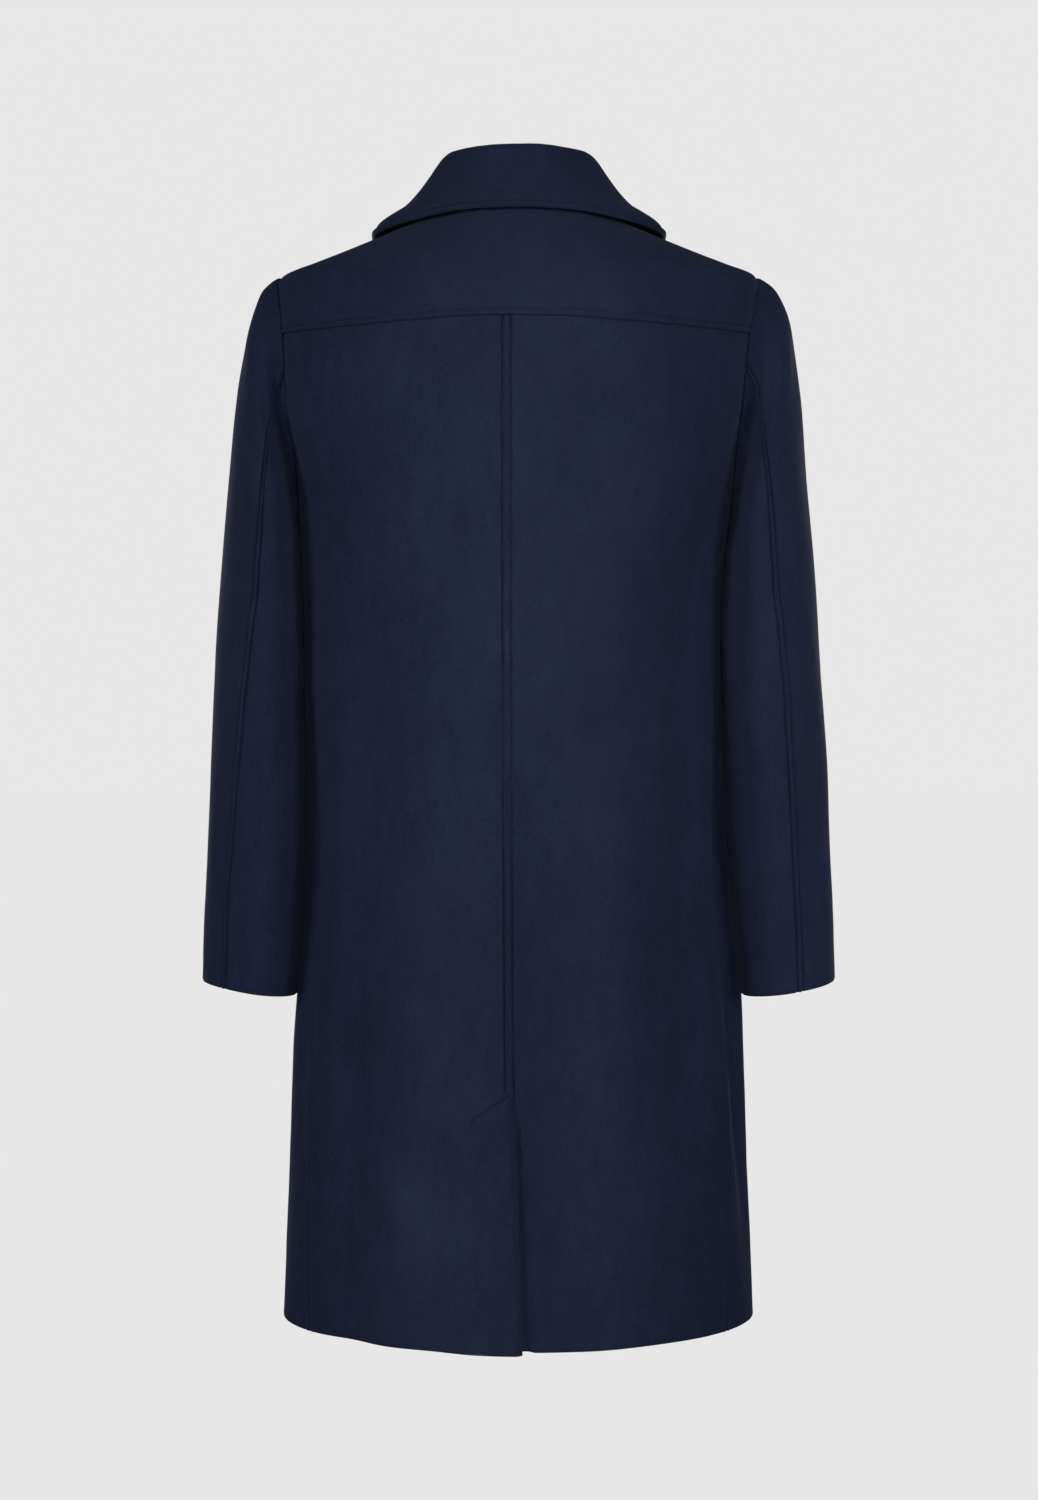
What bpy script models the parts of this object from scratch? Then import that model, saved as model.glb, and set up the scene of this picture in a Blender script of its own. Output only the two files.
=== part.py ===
"""Winter coat: a knee-length single-breasted overcoat in heavy navy wool, filled out as if worn.

Metres, +Z up. The front faces -Y and the wearer's left is +X. The origin is the middle of the neck
opening, level with the neck ends of the shoulder seams, where the wearer's shoulders carry the coat.
"""

import math
from collections import namedtuple

import bmesh
import bpy
import numpy as np
from mathutils import Matrix, Vector

# Cloth and seams
CLOTH = 0.0025  # heavy wool and its backing, one layer
COLLAR_CLOTH = 0.0036  # top collar and under collar together
SEAM = 0.0003  # gap between pieces at a seam
SLEEVE_SEAM = 0.0010  # the same where the seam twists, along a sleeve
ARMHOLE_GAP = 0.0005  # the sleeve's ring stands this far outside the armhole
LAP_LIFT = 0.0036  # how far a lapping edge stands over the edge below it
LAP_SINK = 0.0008  # how far the edge below sinks under it

# Heights of the cut
HEM_Z = -1.0380
HEM_RISE = 0.0055  # the hem is this much higher at the sides
VENT_DROP = 0.0025  # the left back's corner at the vent hangs this much lower
VENT_DROP_TURN = 0.30  # within about this turn of the vent's edge, in radians
HEM_RISE_FROM = -0.900
YOKE_Z = -0.1170
YOKE_CENTRE_Z = -0.1150
NECK_HALF = 0.0800  # half width of the neck opening at the shoulder seams
NECK_BACK = 0.0670
NECK_FRONT = 0.0800
SHOULDER_TIP_Z = -0.0630
YOKE_TIP_CENTRE_Z = -0.0450  # centre back of the yoke row that ends at the shoulder tips

# Armhole, an oval seen from the side
ARMHOLE_BOTTOM_Z = -0.2760
ARMHOLE_BACK = 0.0660
ARMHOLE_FRONT = 0.0620
ARMHOLE_MID_Z = (SHOULDER_TIP_Z + ARMHOLE_BOTTOM_Z) / 2
ARMHOLE_HALF = (SHOULDER_TIP_Z - ARMHOLE_BOTTOM_Z) / 2

# Back vent, left over right
VENT_TOP_Z = -0.8110
VENT_LAP = 0.0380  # width of the underlap
VENT_SLOPE = 0.0240  # the underlap's top edge drops this far across its width
VENT_MARGIN = 0.0080
VENT_FADE_WIDE = 0.0350
VENT_FADE_HIGH = 0.0200

# Front, left over right, and its buttons
FRONT_LAP = 0.0350  # each front passes the centre line by this much
FRONT_FADE = 0.0300
BUTTON_HEIGHTS = (-0.125, -0.260, -0.395, -0.530)
BUTTON_RADIUS = 0.0140
BUTTON_THICK = 0.0042
BUTTON_SIDES = 20
HOLE_RADIUS = 0.0012
HOLE_PLACE = 0.0030
HOLE_SIDES = 6

# Body sections: half widths to the wearer's left and right, depths to the back and front,
# and how square the oval is (2 is an ellipse).
Level = namedtuple("Level", "z left right back front square")
BODY = [
    Level(0.030, 0.058, 0.058, 0.052, 0.042, 2.05),
    Level(0.008, 0.070, 0.070, 0.065, 0.051, 2.05),
    Level(0.000, 0.080, 0.080, 0.070, 0.055, 2.10),
    Level(-0.013, 0.1020, 0.1020, 0.077, 0.060, 2.15),
    Level(-0.025, 0.1280, 0.1280, 0.084, 0.064, 2.20),
    Level(-0.036, 0.1545, 0.1545, 0.091, 0.067, 2.25),
    Level(-0.046, 0.1790, 0.1790, 0.096, 0.070, 2.30),
    Level(-0.055, 0.2020, 0.2020, 0.101, 0.073, 2.35),
    Level(-0.063, 0.2220, 0.2215, 0.105, 0.076, 2.38),
    Level(-0.070, 0.2262, 0.2240, 0.107, 0.079, 2.40),
    Level(-0.090, 0.2275, 0.2240, 0.113, 0.086, 2.45),
    Level(-0.117, 0.2270, 0.2210, 0.121, 0.097, 2.50),
    Level(-0.175, 0.2235, 0.2150, 0.131, 0.118, 2.50),
    Level(-0.235, 0.2125, 0.2050, 0.1345, 0.129, 2.45),
    Level(-0.276, 0.2060, 0.1980, 0.1345, 0.1325, 2.40),
    Level(-0.335, 0.2035, 0.1910, 0.1330, 0.1325, 2.35),
    Level(-0.400, 0.2015, 0.1890, 0.1310, 0.1310, 2.30),
    Level(-0.470, 0.2008, 0.1910, 0.1295, 0.1300, 2.25),
    Level(-0.545, 0.1993, 0.1935, 0.1295, 0.1300, 2.20),
    Level(-0.620, 0.2003, 0.1983, 0.1310, 0.1320, 2.15),
    Level(-0.690, 0.2048, 0.2045, 0.1335, 0.1345, 2.10),
    Level(-0.735, 0.2090, 0.2090, 0.1350, 0.1360, 2.10),
    Level(-0.850, 0.2140, 0.2135, 0.1385, 0.1390, 2.05),
    Level(-0.950, 0.2178, 0.2170, 0.1405, 0.1405, 2.05),
    Level(-1.039, 0.2208, 0.2195, 0.1415, 0.1415, 2.05),
    Level(-1.100, 0.2225, 0.2215, 0.1420, 0.1420, 2.05),
]

# The largest folds: place round the body in degrees from centre back, left positive, at the top and
# the foot of the fold, the height of its middle, its half length and half width, and its depth.
Fold = namedtuple("Fold", "top_deg foot_deg mid_z half_long half_deg rise")
FOLDS = [
    Fold(14, 17, -0.640, 0.400, 8.0, 0.0035),
    Fold(-21, -26, -0.580, 0.420, 9.0, 0.0035),
    Fold(3, 2, -0.600, 0.300, 6.5, -0.0040),
    Fold(44, 50, -0.780, 0.380, 9.0, -0.0045),
    Fold(-52, -47, -0.500, 0.330, 9.0, -0.0045),
    Fold(63, 60, -0.210, 0.130, 5.0, 0.0025),
    Fold(-34, -37, -0.900, 0.260, 8.0, -0.0030),
    Fold(33, 31, -0.980, 0.200, 7.0, 0.0030),
    Fold(133, 128, -0.800, 0.380, 10.0, -0.0045),
    Fold(-136, -130, -0.780, 0.360, 10.0, -0.0045),
    Fold(153, 150, -0.860, 0.330, 8.0, 0.0035),
    Fold(-157, -152, -0.840, 0.330, 8.0, 0.0035),
]

# Centre back seam: how far it runs to the wearer's left of the middle. Below the vent's top it is
# the edge of the left back.
CentreBack = namedtuple("CentreBack", "z x")
CENTRE_BACK = [
    CentreBack(-0.110, 0.0075),
    CentreBack(-0.400, 0.0072),
    CentreBack(-0.650, 0.0062),
    CentreBack(-0.811, 0.0048),
    CentreBack(-0.930, 0.0005),
    CentreBack(-1.060, -0.0040),
]

# Side seam: it swings behind the side line towards the hem.
SideSeam = namedtuple("SideSeam", "z y")
SIDE_SEAM = [
    SideSeam(-0.276, 0.000),
    SideSeam(-0.400, 0.014),
    SideSeam(-0.735, 0.052),
    SideSeam(-1.060, 0.074),
]

# Sleeve rings, from the armhole down: the outer and inner point seen from behind, and how far the
# ring reaches to the back and the front.
Ring = namedtuple("Ring", "outer_x outer_z inner_x inner_z back front")
LEFT_SLEEVE = [
    Ring(0.2225, -0.0630, 0.2065, -0.2765, 0.066, 0.062),
    Ring(0.2388, -0.0688, 0.2080, -0.2830, 0.071, 0.067),
    Ring(0.2535, -0.1080, 0.2075, -0.2920, 0.077, 0.073),
    Ring(0.2645, -0.1720, 0.2062, -0.3060, 0.081, 0.078),
    Ring(0.2730, -0.2500, 0.2038, -0.3350, 0.082, 0.081),
    Ring(0.2802, -0.3400, 0.2013, -0.3850, 0.079, 0.083),
    Ring(0.2860, -0.4300, 0.2005, -0.4550, 0.073, 0.084),
    Ring(0.2905, -0.5200, 0.1990, -0.5350, 0.066, 0.083),
    Ring(0.2942, -0.6100, 0.1997, -0.6200, 0.058, 0.080),
    Ring(0.2970, -0.6800, 0.2045, -0.6900, 0.052, 0.076),
    Ring(0.2985, -0.7210, 0.2092, -0.7330, 0.050, 0.074),
]
RIGHT_SLEEVE = [
    Ring(0.2220, -0.0630, 0.1985, -0.2765, 0.066, 0.062),
    Ring(0.2388, -0.0688, 0.2000, -0.2830, 0.071, 0.067),
    Ring(0.2543, -0.1030, 0.1992, -0.2920, 0.077, 0.073),
    Ring(0.2643, -0.1680, 0.1970, -0.3060, 0.081, 0.078),
    Ring(0.2710, -0.2500, 0.1928, -0.3350, 0.082, 0.081),
    Ring(0.2783, -0.3400, 0.1895, -0.3850, 0.079, 0.083),
    Ring(0.2848, -0.4300, 0.1906, -0.4550, 0.073, 0.084),
    Ring(0.2900, -0.5200, 0.1930, -0.5350, 0.066, 0.083),
    Ring(0.2943, -0.6100, 0.1984, -0.6200, 0.058, 0.080),
    Ring(0.2970, -0.6800, 0.2045, -0.6900, 0.052, 0.076),
    Ring(0.2981, -0.7210, 0.2092, -0.7330, 0.050, 0.074),
]
SLEEVE_INNER_Y = 0.0300  # the ring's inner point lies this far behind the middle,
SLEEVE_OUTER_Y = -0.0150  # and its outer point this far in front
SLEEVE_SQUARE = 2.2
ARMHOLE_BLEND = 3.0  # the armhole's own curve fades out of the sleeve within this many rings
FRONT_SEAM_DEG = 250.0  # the sleeve's front seam, round from the outer point by way of the back
LEFT_BACK_SEAM_DEG = (96.0, 100.5, 94.0, 70.0, 66.0)  # at even steps from armhole to cuff
RIGHT_BACK_SEAM_DEG = (94.0, 102.5, 92.0, 84.0, 87.0)

# Collar stations from centre back to the front end: place round the neck, the fold's height over
# the neck seam and its inset from it, the outer edge in plan, and how straight the fall hangs.
Station = namedtuple("Station", "share neck_deg rise inset edge_x edge_y straight")
COLLAR = [
    Station(0.00, 0.0, 0.0470, 0.0100, 0.0000, 0.0780, 0.0),
    Station(0.20, 32.0, 0.0490, 0.0120, 0.0640, 0.0730, 0.0),
    Station(0.38, 62.0, 0.0540, 0.0170, 0.1130, 0.0500, 0.0),
    Station(0.50, 84.0, 0.0580, 0.0190, 0.1355, 0.0120, 0.0),
    Station(0.60, 102.0, 0.0580, 0.0190, 0.1370, -0.0220, 0.2),
    Station(0.70, 122.0, 0.0540, 0.0160, 0.1290, -0.0500, 0.6),
    Station(0.80, 140.0, 0.0470, 0.0120, 0.1130, -0.0760, 1.0),
    Station(0.90, 158.0, 0.0390, 0.0080, 0.0940, -0.0950, 1.2),
    Station(1.00, 173.0, 0.0310, 0.0050, 0.0710, -0.1110, 1.2),
]
COLLAR_EDGE_LIFT = 0.0050
COLLAR_SEAT = 0.0010  # the stand's foot over the neck edge
NECK_AXIS = Vector((0.0, -0.005, 0.0))
# The collar's section: the stand from neck seam to crest, as shares of inset and rise ...
Stand = namedtuple("Stand", "inset rise")
COLLAR_STAND = [Stand(0.00, 0.00), Stand(0.75, 0.30), Stand(1.40, 0.62), Stand(1.65, 0.88), Stand(1.0, 1.0)]
# ... and the fall from crest to edge, as shares of its width and drop.
Fall = namedtuple("Fall", "out height")
COLLAR_FALL = [
    Fall(0.14, 0.925), Fall(0.30, 0.70), Fall(0.45, 0.50), Fall(0.61, 0.335),
    Fall(0.78, 0.225), Fall(0.91, 0.135), Fall(0.98, 0.045), Fall(1.00, 0.00),
]

# Grid of each wall
BACK_COLUMNS = 10
BACK_CROWD = 1.35  # columns lie closer together near the vent
BACK_SAG = 2.0  # the upper rows turn down towards the armhole along a curve
YOKE_COLUMNS = 22
FRONT_COLUMNS = 14
FRONT_CROWD = 1.25  # columns lie closer together where the fronts lap
TOP_SLEEVE_COLUMNS = 11
UNDER_SLEEVE_COLUMNS = 9
COLLAR_COLUMNS = 30
SLEEVE_STATIONS = (
    0, 0.3, 0.65, 1.0, 1.35, 1.7, 2.05, 2.4, 2.75, 3.15, 3.6, 4.3, 5.0, 5.8, 6.6, 7.5, 8.4, 9.3, 10.0,
)
LOWER_ROWS = (-0.33, -0.39, -0.45, -0.51, -0.57, -0.63, -0.69, -0.75)

# Colours from the photo, as linear values
WOOL_NAVY = (0.0150, 0.0185, 0.0400, 1.0)
BUTTON_NAVY = (0.0080, 0.0090, 0.0160, 1.0)


def monotone(knots, values):
    """A smooth curve through the knots that never overshoots them."""
    order = np.argsort(knots)
    x = np.array(knots, float)[order]
    y = np.array(values, float)[order]
    step = np.diff(x)
    slope = np.diff(y) / step
    tangent = np.zeros_like(y)
    same_way = slope[:-1] * slope[1:] > 0
    mean = 2 * slope[:-1] * slope[1:] / np.where(same_way, slope[:-1] + slope[1:], 1.0)
    tangent[1:-1] = np.where(same_way, mean, 0.0)
    tangent[0] = slope[0]
    tangent[-1] = slope[-1]

    def curve(at):
        at = np.clip(np.asarray(at, float), x[0], x[-1])
        i = np.clip(np.searchsorted(x, at) - 1, 0, len(step) - 1)
        t = (at - x[i]) / step[i]
        rise = y[i] + t * t * (3 - 2 * t) * (y[i + 1] - y[i])
        lean = t * (1 - t) ** 2 * tangent[i] - t * t * (1 - t) * tangent[i + 1]
        return rise + step[i] * lean

    return curve


def columns_of(table, key):
    """One smooth curve for each column of a table, over its key column."""
    knots = [getattr(row, key) for row in table]
    return {name: monotone(knots, [getattr(row, name) for row in table]) for name in table[0]._fields}


def ease(share):
    """0 to 1 with level ends."""
    share = np.clip(share, 0.0, 1.0)
    return share * share * (3 - 2 * share)


BODY_AT = columns_of(BODY, "z")
CENTRE_BACK_AT = columns_of(CENTRE_BACK, "z")
SIDE_SEAM_AT = columns_of(SIDE_SEAM, "z")
COLLAR_AT = columns_of(COLLAR, "share")


def fold_rise(angle, z):
    """How far the folds move the cloth out at a place round the body."""
    degrees = np.degrees(angle)
    total = np.zeros(np.broadcast(degrees, z).shape)
    for fold in FOLDS:
        along = np.clip((z - fold.mid_z) / fold.half_long, -1, 1)
        middle = fold.top_deg + (fold.foot_deg - fold.top_deg) * (1 - along) / 2
        across = (degrees - middle + 180) % 360 - 180
        total += fold.rise * np.cos(along * math.pi / 2) ** 2 * np.exp(-((across / fold.half_deg) ** 2))
    return total


def body(angle, z):
    """The coat's outer face at an angle from centre back, left positive, and a height."""
    angle, z = np.broadcast_arrays(np.asarray(angle, float), np.asarray(z, float))
    sine, cosine = np.sin(angle), np.cos(angle)
    width = np.where(sine >= 0, BODY_AT["left"](z), BODY_AT["right"](z))
    depth = np.where(cosine >= 0, BODY_AT["back"](z), BODY_AT["front"](z))
    power = BODY_AT["square"](z)
    reach = (np.abs(sine) ** power + np.abs(cosine) ** power) ** (-1 / power)
    x, y = width * sine * reach, depth * cosine * reach
    out = np.stack([sine / width, cosine / depth], axis=-1)
    out /= np.linalg.norm(out, axis=-1, keepdims=True)
    rise = fold_rise(angle, z)
    return np.stack([x + rise * out[..., 0], y + rise * out[..., 1], z], axis=-1)


def facing(surface, a, b, step_a=1e-3, step_b=1e-3):
    """Unit normals of a surface of two parameters."""
    along_a = surface(a + step_a, b) - surface(a - step_a, b)
    along_b = surface(a, b + step_b) - surface(a, b - step_b)
    normal = np.cross(along_b, along_a)
    return normal / np.linalg.norm(normal, axis=-1, keepdims=True)


def body_facing(angle, z):
    """Outward unit normals of the body."""
    return facing(body, np.asarray(angle, float), np.asarray(z, float))


def angle_at_x(z, x, front=False):
    """The angle at which the body's section at height z is x to the wearer's left."""
    share = x / np.where(np.asarray(x) >= 0, BODY_AT["left"](z), BODY_AT["right"](z))
    power = BODY_AT["square"](z)
    other = (1 - np.abs(share) ** power) ** (1 / power)
    return np.arctan2(share, -other if front else other)


def angle_at_y(z, y):
    """The angle from 0 to pi at which the body's section at height z reaches y."""
    share = y / np.where(np.asarray(y) >= 0, BODY_AT["back"](z), BODY_AT["front"](z))
    power = BODY_AT["square"](z)
    return np.arctan2((1 - np.abs(share) ** power) ** (1 / power), share)


def rest_on_body(x, y):
    """Height at which the body's section passes through points of the plan, near the shoulders."""
    x, y = np.broadcast_arrays(np.asarray(x, float), np.asarray(y, float))
    high = np.full(x.shape, BODY[0].z)
    low = np.full(x.shape, ARMHOLE_BOTTOM_Z)
    for _ in range(40):
        z = (high + low) / 2
        power = BODY_AT["square"](z)
        width = np.where(x >= 0, BODY_AT["left"](z), BODY_AT["right"](z))
        depth = np.where(y >= 0, BODY_AT["back"](z), BODY_AT["front"](z))
        inside = (np.abs(x) / width) ** power + (np.abs(y) / depth) ** power < 1
        low = np.where(inside, z, low)
        high = np.where(inside, high, z)
    return (high + low) / 2


def angle_at(x, y, z):
    """The angle of a point of the plan on the body's section at height z."""
    width = np.where(x >= 0, BODY_AT["left"](z), BODY_AT["right"](z))
    depth = np.where(y >= 0, BODY_AT["back"](z), BODY_AT["front"](z))
    return np.arctan2(x / width, y / depth)


def neck(turn):
    """Angle and height of the neck edge at a turn round the neck from centre back."""
    turn = np.asarray(turn, float)
    x = NECK_HALF * np.sin(turn)
    y = np.where(np.cos(turn) >= 0, NECK_BACK, NECK_FRONT) * np.cos(turn)
    z = rest_on_body(x, y)
    return angle_at(x, y, z), z


def armhole_angle(z, reach):
    """The angle of the armhole's edge at a height, behind (reach above 0) or in front."""
    share = np.clip((z - ARMHOLE_MID_Z) / ARMHOLE_HALF, -1, 1)
    return angle_at_y(z, reach * np.sqrt(1 - share * share))


def armhole_heights(top_z, count):
    """Heights down the armhole from top_z to its foot, closer together near the foot."""
    start = math.acos((top_z - ARMHOLE_MID_Z) / ARMHOLE_HALF)
    return ARMHOLE_MID_Z + ARMHOLE_HALF * np.cos(np.linspace(start, math.pi, count))


def side_angle(z, shift=0.0):
    """The angle of the side seam, or of the armhole above it, on the back's side."""
    seam = angle_at_y(z, SIDE_SEAM_AT["y"](z) + shift)
    return np.where(z > ARMHOLE_BOTTOM_Z, armhole_angle(z, ARMHOLE_BACK), seam)


def hem_shape(angle, z):
    """Heights eased up a little towards the sides, near the hem."""
    near = ease((HEM_RISE_FROM - z) / (HEM_RISE_FROM - HEM_Z))
    return z + HEM_RISE * near * np.sin(angle) ** 2


def wall(name, outer, inner, material, collection):
    """A closed cloth wall between two grids of points, [row, column], as a named object."""
    rows, columns = outer.shape[:2]
    bm = bmesh.new()
    bmesh.ops.create_grid(bm, x_segments=columns - 1, y_segments=rows - 1, size=0.5)
    grown = bmesh.ops.extrude_face_region(bm, geom=bm.faces[:])["geom"]
    lining = {item for item in grown if isinstance(item, bmesh.types.BMVert)}
    for vert in bm.verts:
        column = round((vert.co.x + 0.5) * (columns - 1))
        row = round((vert.co.y + 0.5) * (rows - 1))
        vert.co = (inner if vert in lining else outer)[row, column]
    bmesh.ops.recalc_face_normals(bm, faces=bm.faces[:])
    if bm.calc_volume(signed=True) < 0:
        bmesh.ops.reverse_faces(bm, faces=bm.faces[:])
    mesh = bpy.data.meshes.new(name)
    bm.to_mesh(mesh)
    bm.free()
    mesh.shade_smooth()
    mesh.set_sharp_from_angle(angle=math.radians(50))
    mesh.materials.append(material)
    made = bpy.data.objects.new(name, mesh)
    collection.objects.link(made)
    return made


def body_wall(name, angle, z, lift, material, collection):
    """A wall on the body's surface, its outer face lifted by a given amount."""
    normal = body_facing(angle, z)
    outer = body(angle, z) + normal * lift[..., None]
    return wall(name, outer, outer - normal * CLOTH, material, collection)


def even(start, stop, columns, crowd=1.0):
    """Rows of values spaced between two columns of ends, closer near the start where crowd is over 1."""
    share = np.linspace(0, 1, columns + 1)[None, :] ** crowd
    return start[:, None] * (1 - share) + stop[:, None] * share


def vent_lift(x, z):
    """How far the left back is lifted over the vent's underlap."""
    across = 1 - ease((x - CENTRE_BACK_AT["x"](z) - VENT_LAP - VENT_MARGIN) / VENT_FADE_WIDE)
    down = ease((VENT_TOP_Z + VENT_FADE_HIGH - z) / VENT_FADE_HIGH)
    return LAP_LIFT * across * down


def back_rows():
    """Heights of the back's rows at the centre seam and at the armhole or side seam."""
    arm = armhole_heights(YOKE_Z, 8)
    beside = np.linspace(YOKE_CENTRE_Z, ARMHOLE_BOTTOM_Z - 0.012, len(arm))
    vent = (VENT_TOP_Z + VENT_FADE_HIGH, VENT_TOP_Z, VENT_TOP_Z - VENT_SLOPE / 2, VENT_TOP_Z - VENT_SLOPE)
    tail = np.linspace(VENT_TOP_Z - VENT_SLOPE, HEM_Z, 6)[1:]
    low = np.concatenate([LOWER_ROWS, vent, tail])
    return np.concatenate([beside, low]), np.concatenate([arm, low])


def make_back(side, material, collection):
    """The left (side 1) or right (side -1) back, from the centre seam to the armhole and side seam."""
    centre_z, edge_z = back_rows()
    centre = CENTRE_BACK_AT["x"](centre_z)
    if side > 0:
        start = angle_at_x(centre_z, centre + SEAM / 2)
    else:
        under = VENT_LAP * np.clip((VENT_TOP_Z - centre_z) / VENT_SLOPE, 0, 1)
        start = angle_at_x(centre_z, centre - SEAM / 2 + under)
    stop = side * side_angle(edge_z, SEAM / 2)
    angle = even(start, stop, BACK_COLUMNS, BACK_CROWD)
    level = even(centre_z, edge_z, BACK_COLUMNS, BACK_SAG)
    level[0] -= SEAM / 2
    level = hem_shape(angle, level)
    if side > 0:
        down = ease((VENT_TOP_Z - level) / (VENT_TOP_Z - HEM_Z))
        level -= VENT_DROP * down * np.exp(-((angle / VENT_DROP_TURN) ** 2))
    lift = vent_lift(body(angle, level)[..., 0], level) if side > 0 else np.zeros_like(level)
    name = "back_left" if side > 0 else "back_right"
    return body_wall(name, angle, level, lift, material, collection)


def make_yoke(material, collection):
    """The yoke, from the seam across the back up over the shoulders to the neck."""
    arm = armhole_heights(SHOULDER_TIP_Z, 9)
    arm = np.concatenate([[YOKE_Z], arm[(arm > YOKE_Z + 0.008)][::-1]])
    shoulder = np.linspace(SHOULDER_TIP_Z, 0.0, 6)[1:]
    end_z = np.concatenate([arm, shoulder])
    end = np.where(end_z < SHOULDER_TIP_Z, armhole_angle(end_z, ARMHOLE_BACK), math.pi / 2)
    end[len(arm) - 1:] = angle_at_y(end_z[len(arm) - 1:], SEAM / 2)
    share = (end_z - YOKE_Z) / (SHOULDER_TIP_Z - YOKE_Z)
    lower = YOKE_CENTRE_Z + (YOKE_TIP_CENTRE_Z - YOKE_CENTRE_Z) * share
    top = 1 - end_z / SHOULDER_TIP_Z
    upper = YOKE_TIP_CENTRE_Z * (1 - top)
    centre_z = np.where(end_z < SHOULDER_TIP_Z, lower, upper)
    across = np.linspace(-1, 1, YOKE_COLUMNS + 1)[None, :]
    angle = end[:, None] * across
    level = centre_z[:, None] + (end_z - centre_z)[:, None] * across**2
    neck_angle, neck_z = neck(across[0] * end[-1])
    share = np.clip(top, 0, 1)[:, None]
    angle += (neck_angle[None, :] - angle[-1:]) * share**2
    level += (neck_z[None, :] - level[-1:]) * share
    level[0] += SEAM / 2
    return body_wall("back_yoke", angle, level, np.zeros_like(level), material, collection)


def front_lift(angle, z):
    """How far the left front is lifted over the right where they lap."""
    x = body(angle, z)[..., 0]
    return LAP_LIFT * (1 - ease((np.abs(x) - FRONT_LAP - 2 * CLOTH) / FRONT_FADE))


# The front's upper rows: the neck edge's angle, or its height below the neck, and the armhole's height.
FrontRow = namedtuple("FrontRow", "neck_deg edge_z end_z")
FRONT_TOP = [
    FrontRow(90.0, None, -0.0630),
    FrontRow(106.0, None, -0.0665),
    FrontRow(124.0, None, -0.0760),
    FrontRow(144.0, None, -0.0960),
    FrontRow(160.0, None, -0.1180),
    FrontRow(174.0, None, -0.1360),
    FrontRow(None, -0.0755, -0.1600),
    FrontRow(None, -0.1150, -0.1930),
    FrontRow(None, -0.1600, -0.2280),
    FrontRow(None, -0.2050, -0.2560),
    FrontRow(None, -0.2500, -0.2720),
    FrontRow(None, -0.2800, -0.2760),
]


def front_start(row, side):
    """Angle and height where one of the front's upper rows starts, at the neck or the front edge."""
    if row.neck_deg == 90.0:
        return side * float(angle_at_y(0.0, -SEAM / 2)), 0.0
    if row.neck_deg is not None:
        angle, z = neck(math.radians(row.neck_deg))
        return side * float(angle), float(z)
    edge = float(angle_at_x(row.edge_z, -side * FRONT_LAP, front=True))
    return edge + side * 2 * math.pi if edge * side < 0 else edge, row.edge_z


def make_front(side, material, collection):
    """The left (side 1) or right (side -1) front, from its lapping edge to the armhole and side seam."""
    starts = [front_start(row, side) for row in FRONT_TOP]
    end_z = np.array([row.end_z for row in FRONT_TOP])
    end = armhole_angle(end_z, -ARMHOLE_FRONT)
    end[0] = angle_at_y(end_z[0], -SEAM / 2)
    end[-1] = angle_at_y(end_z[-1], -SEAM / 2)
    low_z = np.concatenate([LOWER_ROWS, np.linspace(LOWER_ROWS[-1], HEM_Z, 7)[1:]])
    low_start = angle_at_x(low_z, np.full_like(low_z, -side * FRONT_LAP), front=True)
    low_start = np.where(low_start * side < 0, low_start + side * 2 * math.pi, low_start)
    low_end = angle_at_y(low_z, SIDE_SEAM_AT["y"](low_z) - SEAM / 2)
    start = np.concatenate([[s[0] for s in starts], low_start])
    start_z = np.concatenate([[s[1] for s in starts], low_z])
    angle = even(start, side * np.concatenate([end, low_end]), FRONT_COLUMNS, FRONT_CROWD)
    level = even(start_z, np.concatenate([end_z, low_z]), FRONT_COLUMNS, FRONT_CROWD)
    level = hem_shape(angle, level)
    lift = front_lift(angle, level) * (1 if side > 0 else -LAP_SINK / LAP_LIFT)
    name = "front_left" if side > 0 else "front_right"
    return body_wall(name, angle, level, lift, material, collection)


def sleeve_surface(side):
    """The sleeve's outer face as a function of the turn from its outer point and the ring number."""
    table = LEFT_SLEEVE if side > 0 else RIGHT_SLEEVE
    numbers = list(range(len(table)))
    at = {name: monotone(numbers, [getattr(row, name) for row in table]) for name in Ring._fields}

    def oval(turn, ring):
        cosine, sine = np.cos(turn), np.sin(turn)
        reach = (np.abs(cosine) ** SLEEVE_SQUARE + np.abs(sine) ** SLEEVE_SQUARE) ** (-1 / SLEEVE_SQUARE)
        out = (1 + cosine * reach) / 2
        x = at["inner_x"](ring) + (at["outer_x"](ring) - at["inner_x"](ring)) * out
        z = at["inner_z"](ring) + (at["outer_z"](ring) - at["inner_z"](ring)) * out
        y = np.where(sine >= 0, at["back"](ring), at["front"](ring)) * sine * reach
        y += SLEEVE_INNER_Y + (SLEEVE_OUTER_Y - SLEEVE_INNER_Y) * out
        return np.stack([side * x, y, z], axis=-1)

    def armhole(turn):
        z = ARMHOLE_MID_Z + ARMHOLE_HALF * np.cos(turn)
        y = np.where(np.sin(turn) >= 0, ARMHOLE_BACK, ARMHOLE_FRONT) * np.sin(turn)
        edge = body(side * angle_at_y(z, y), z)
        edge[..., 0] += side * ARMHOLE_GAP
        return edge

    def surface(turn, ring):
        turn, ring = np.broadcast_arrays(np.asarray(turn, float), np.asarray(ring, float))
        keep = 1 - ease(ring / ARMHOLE_BLEND)
        return oval(turn, ring) + (armhole(turn) - oval(turn, np.zeros_like(ring))) * keep[..., None]

    return surface


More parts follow.
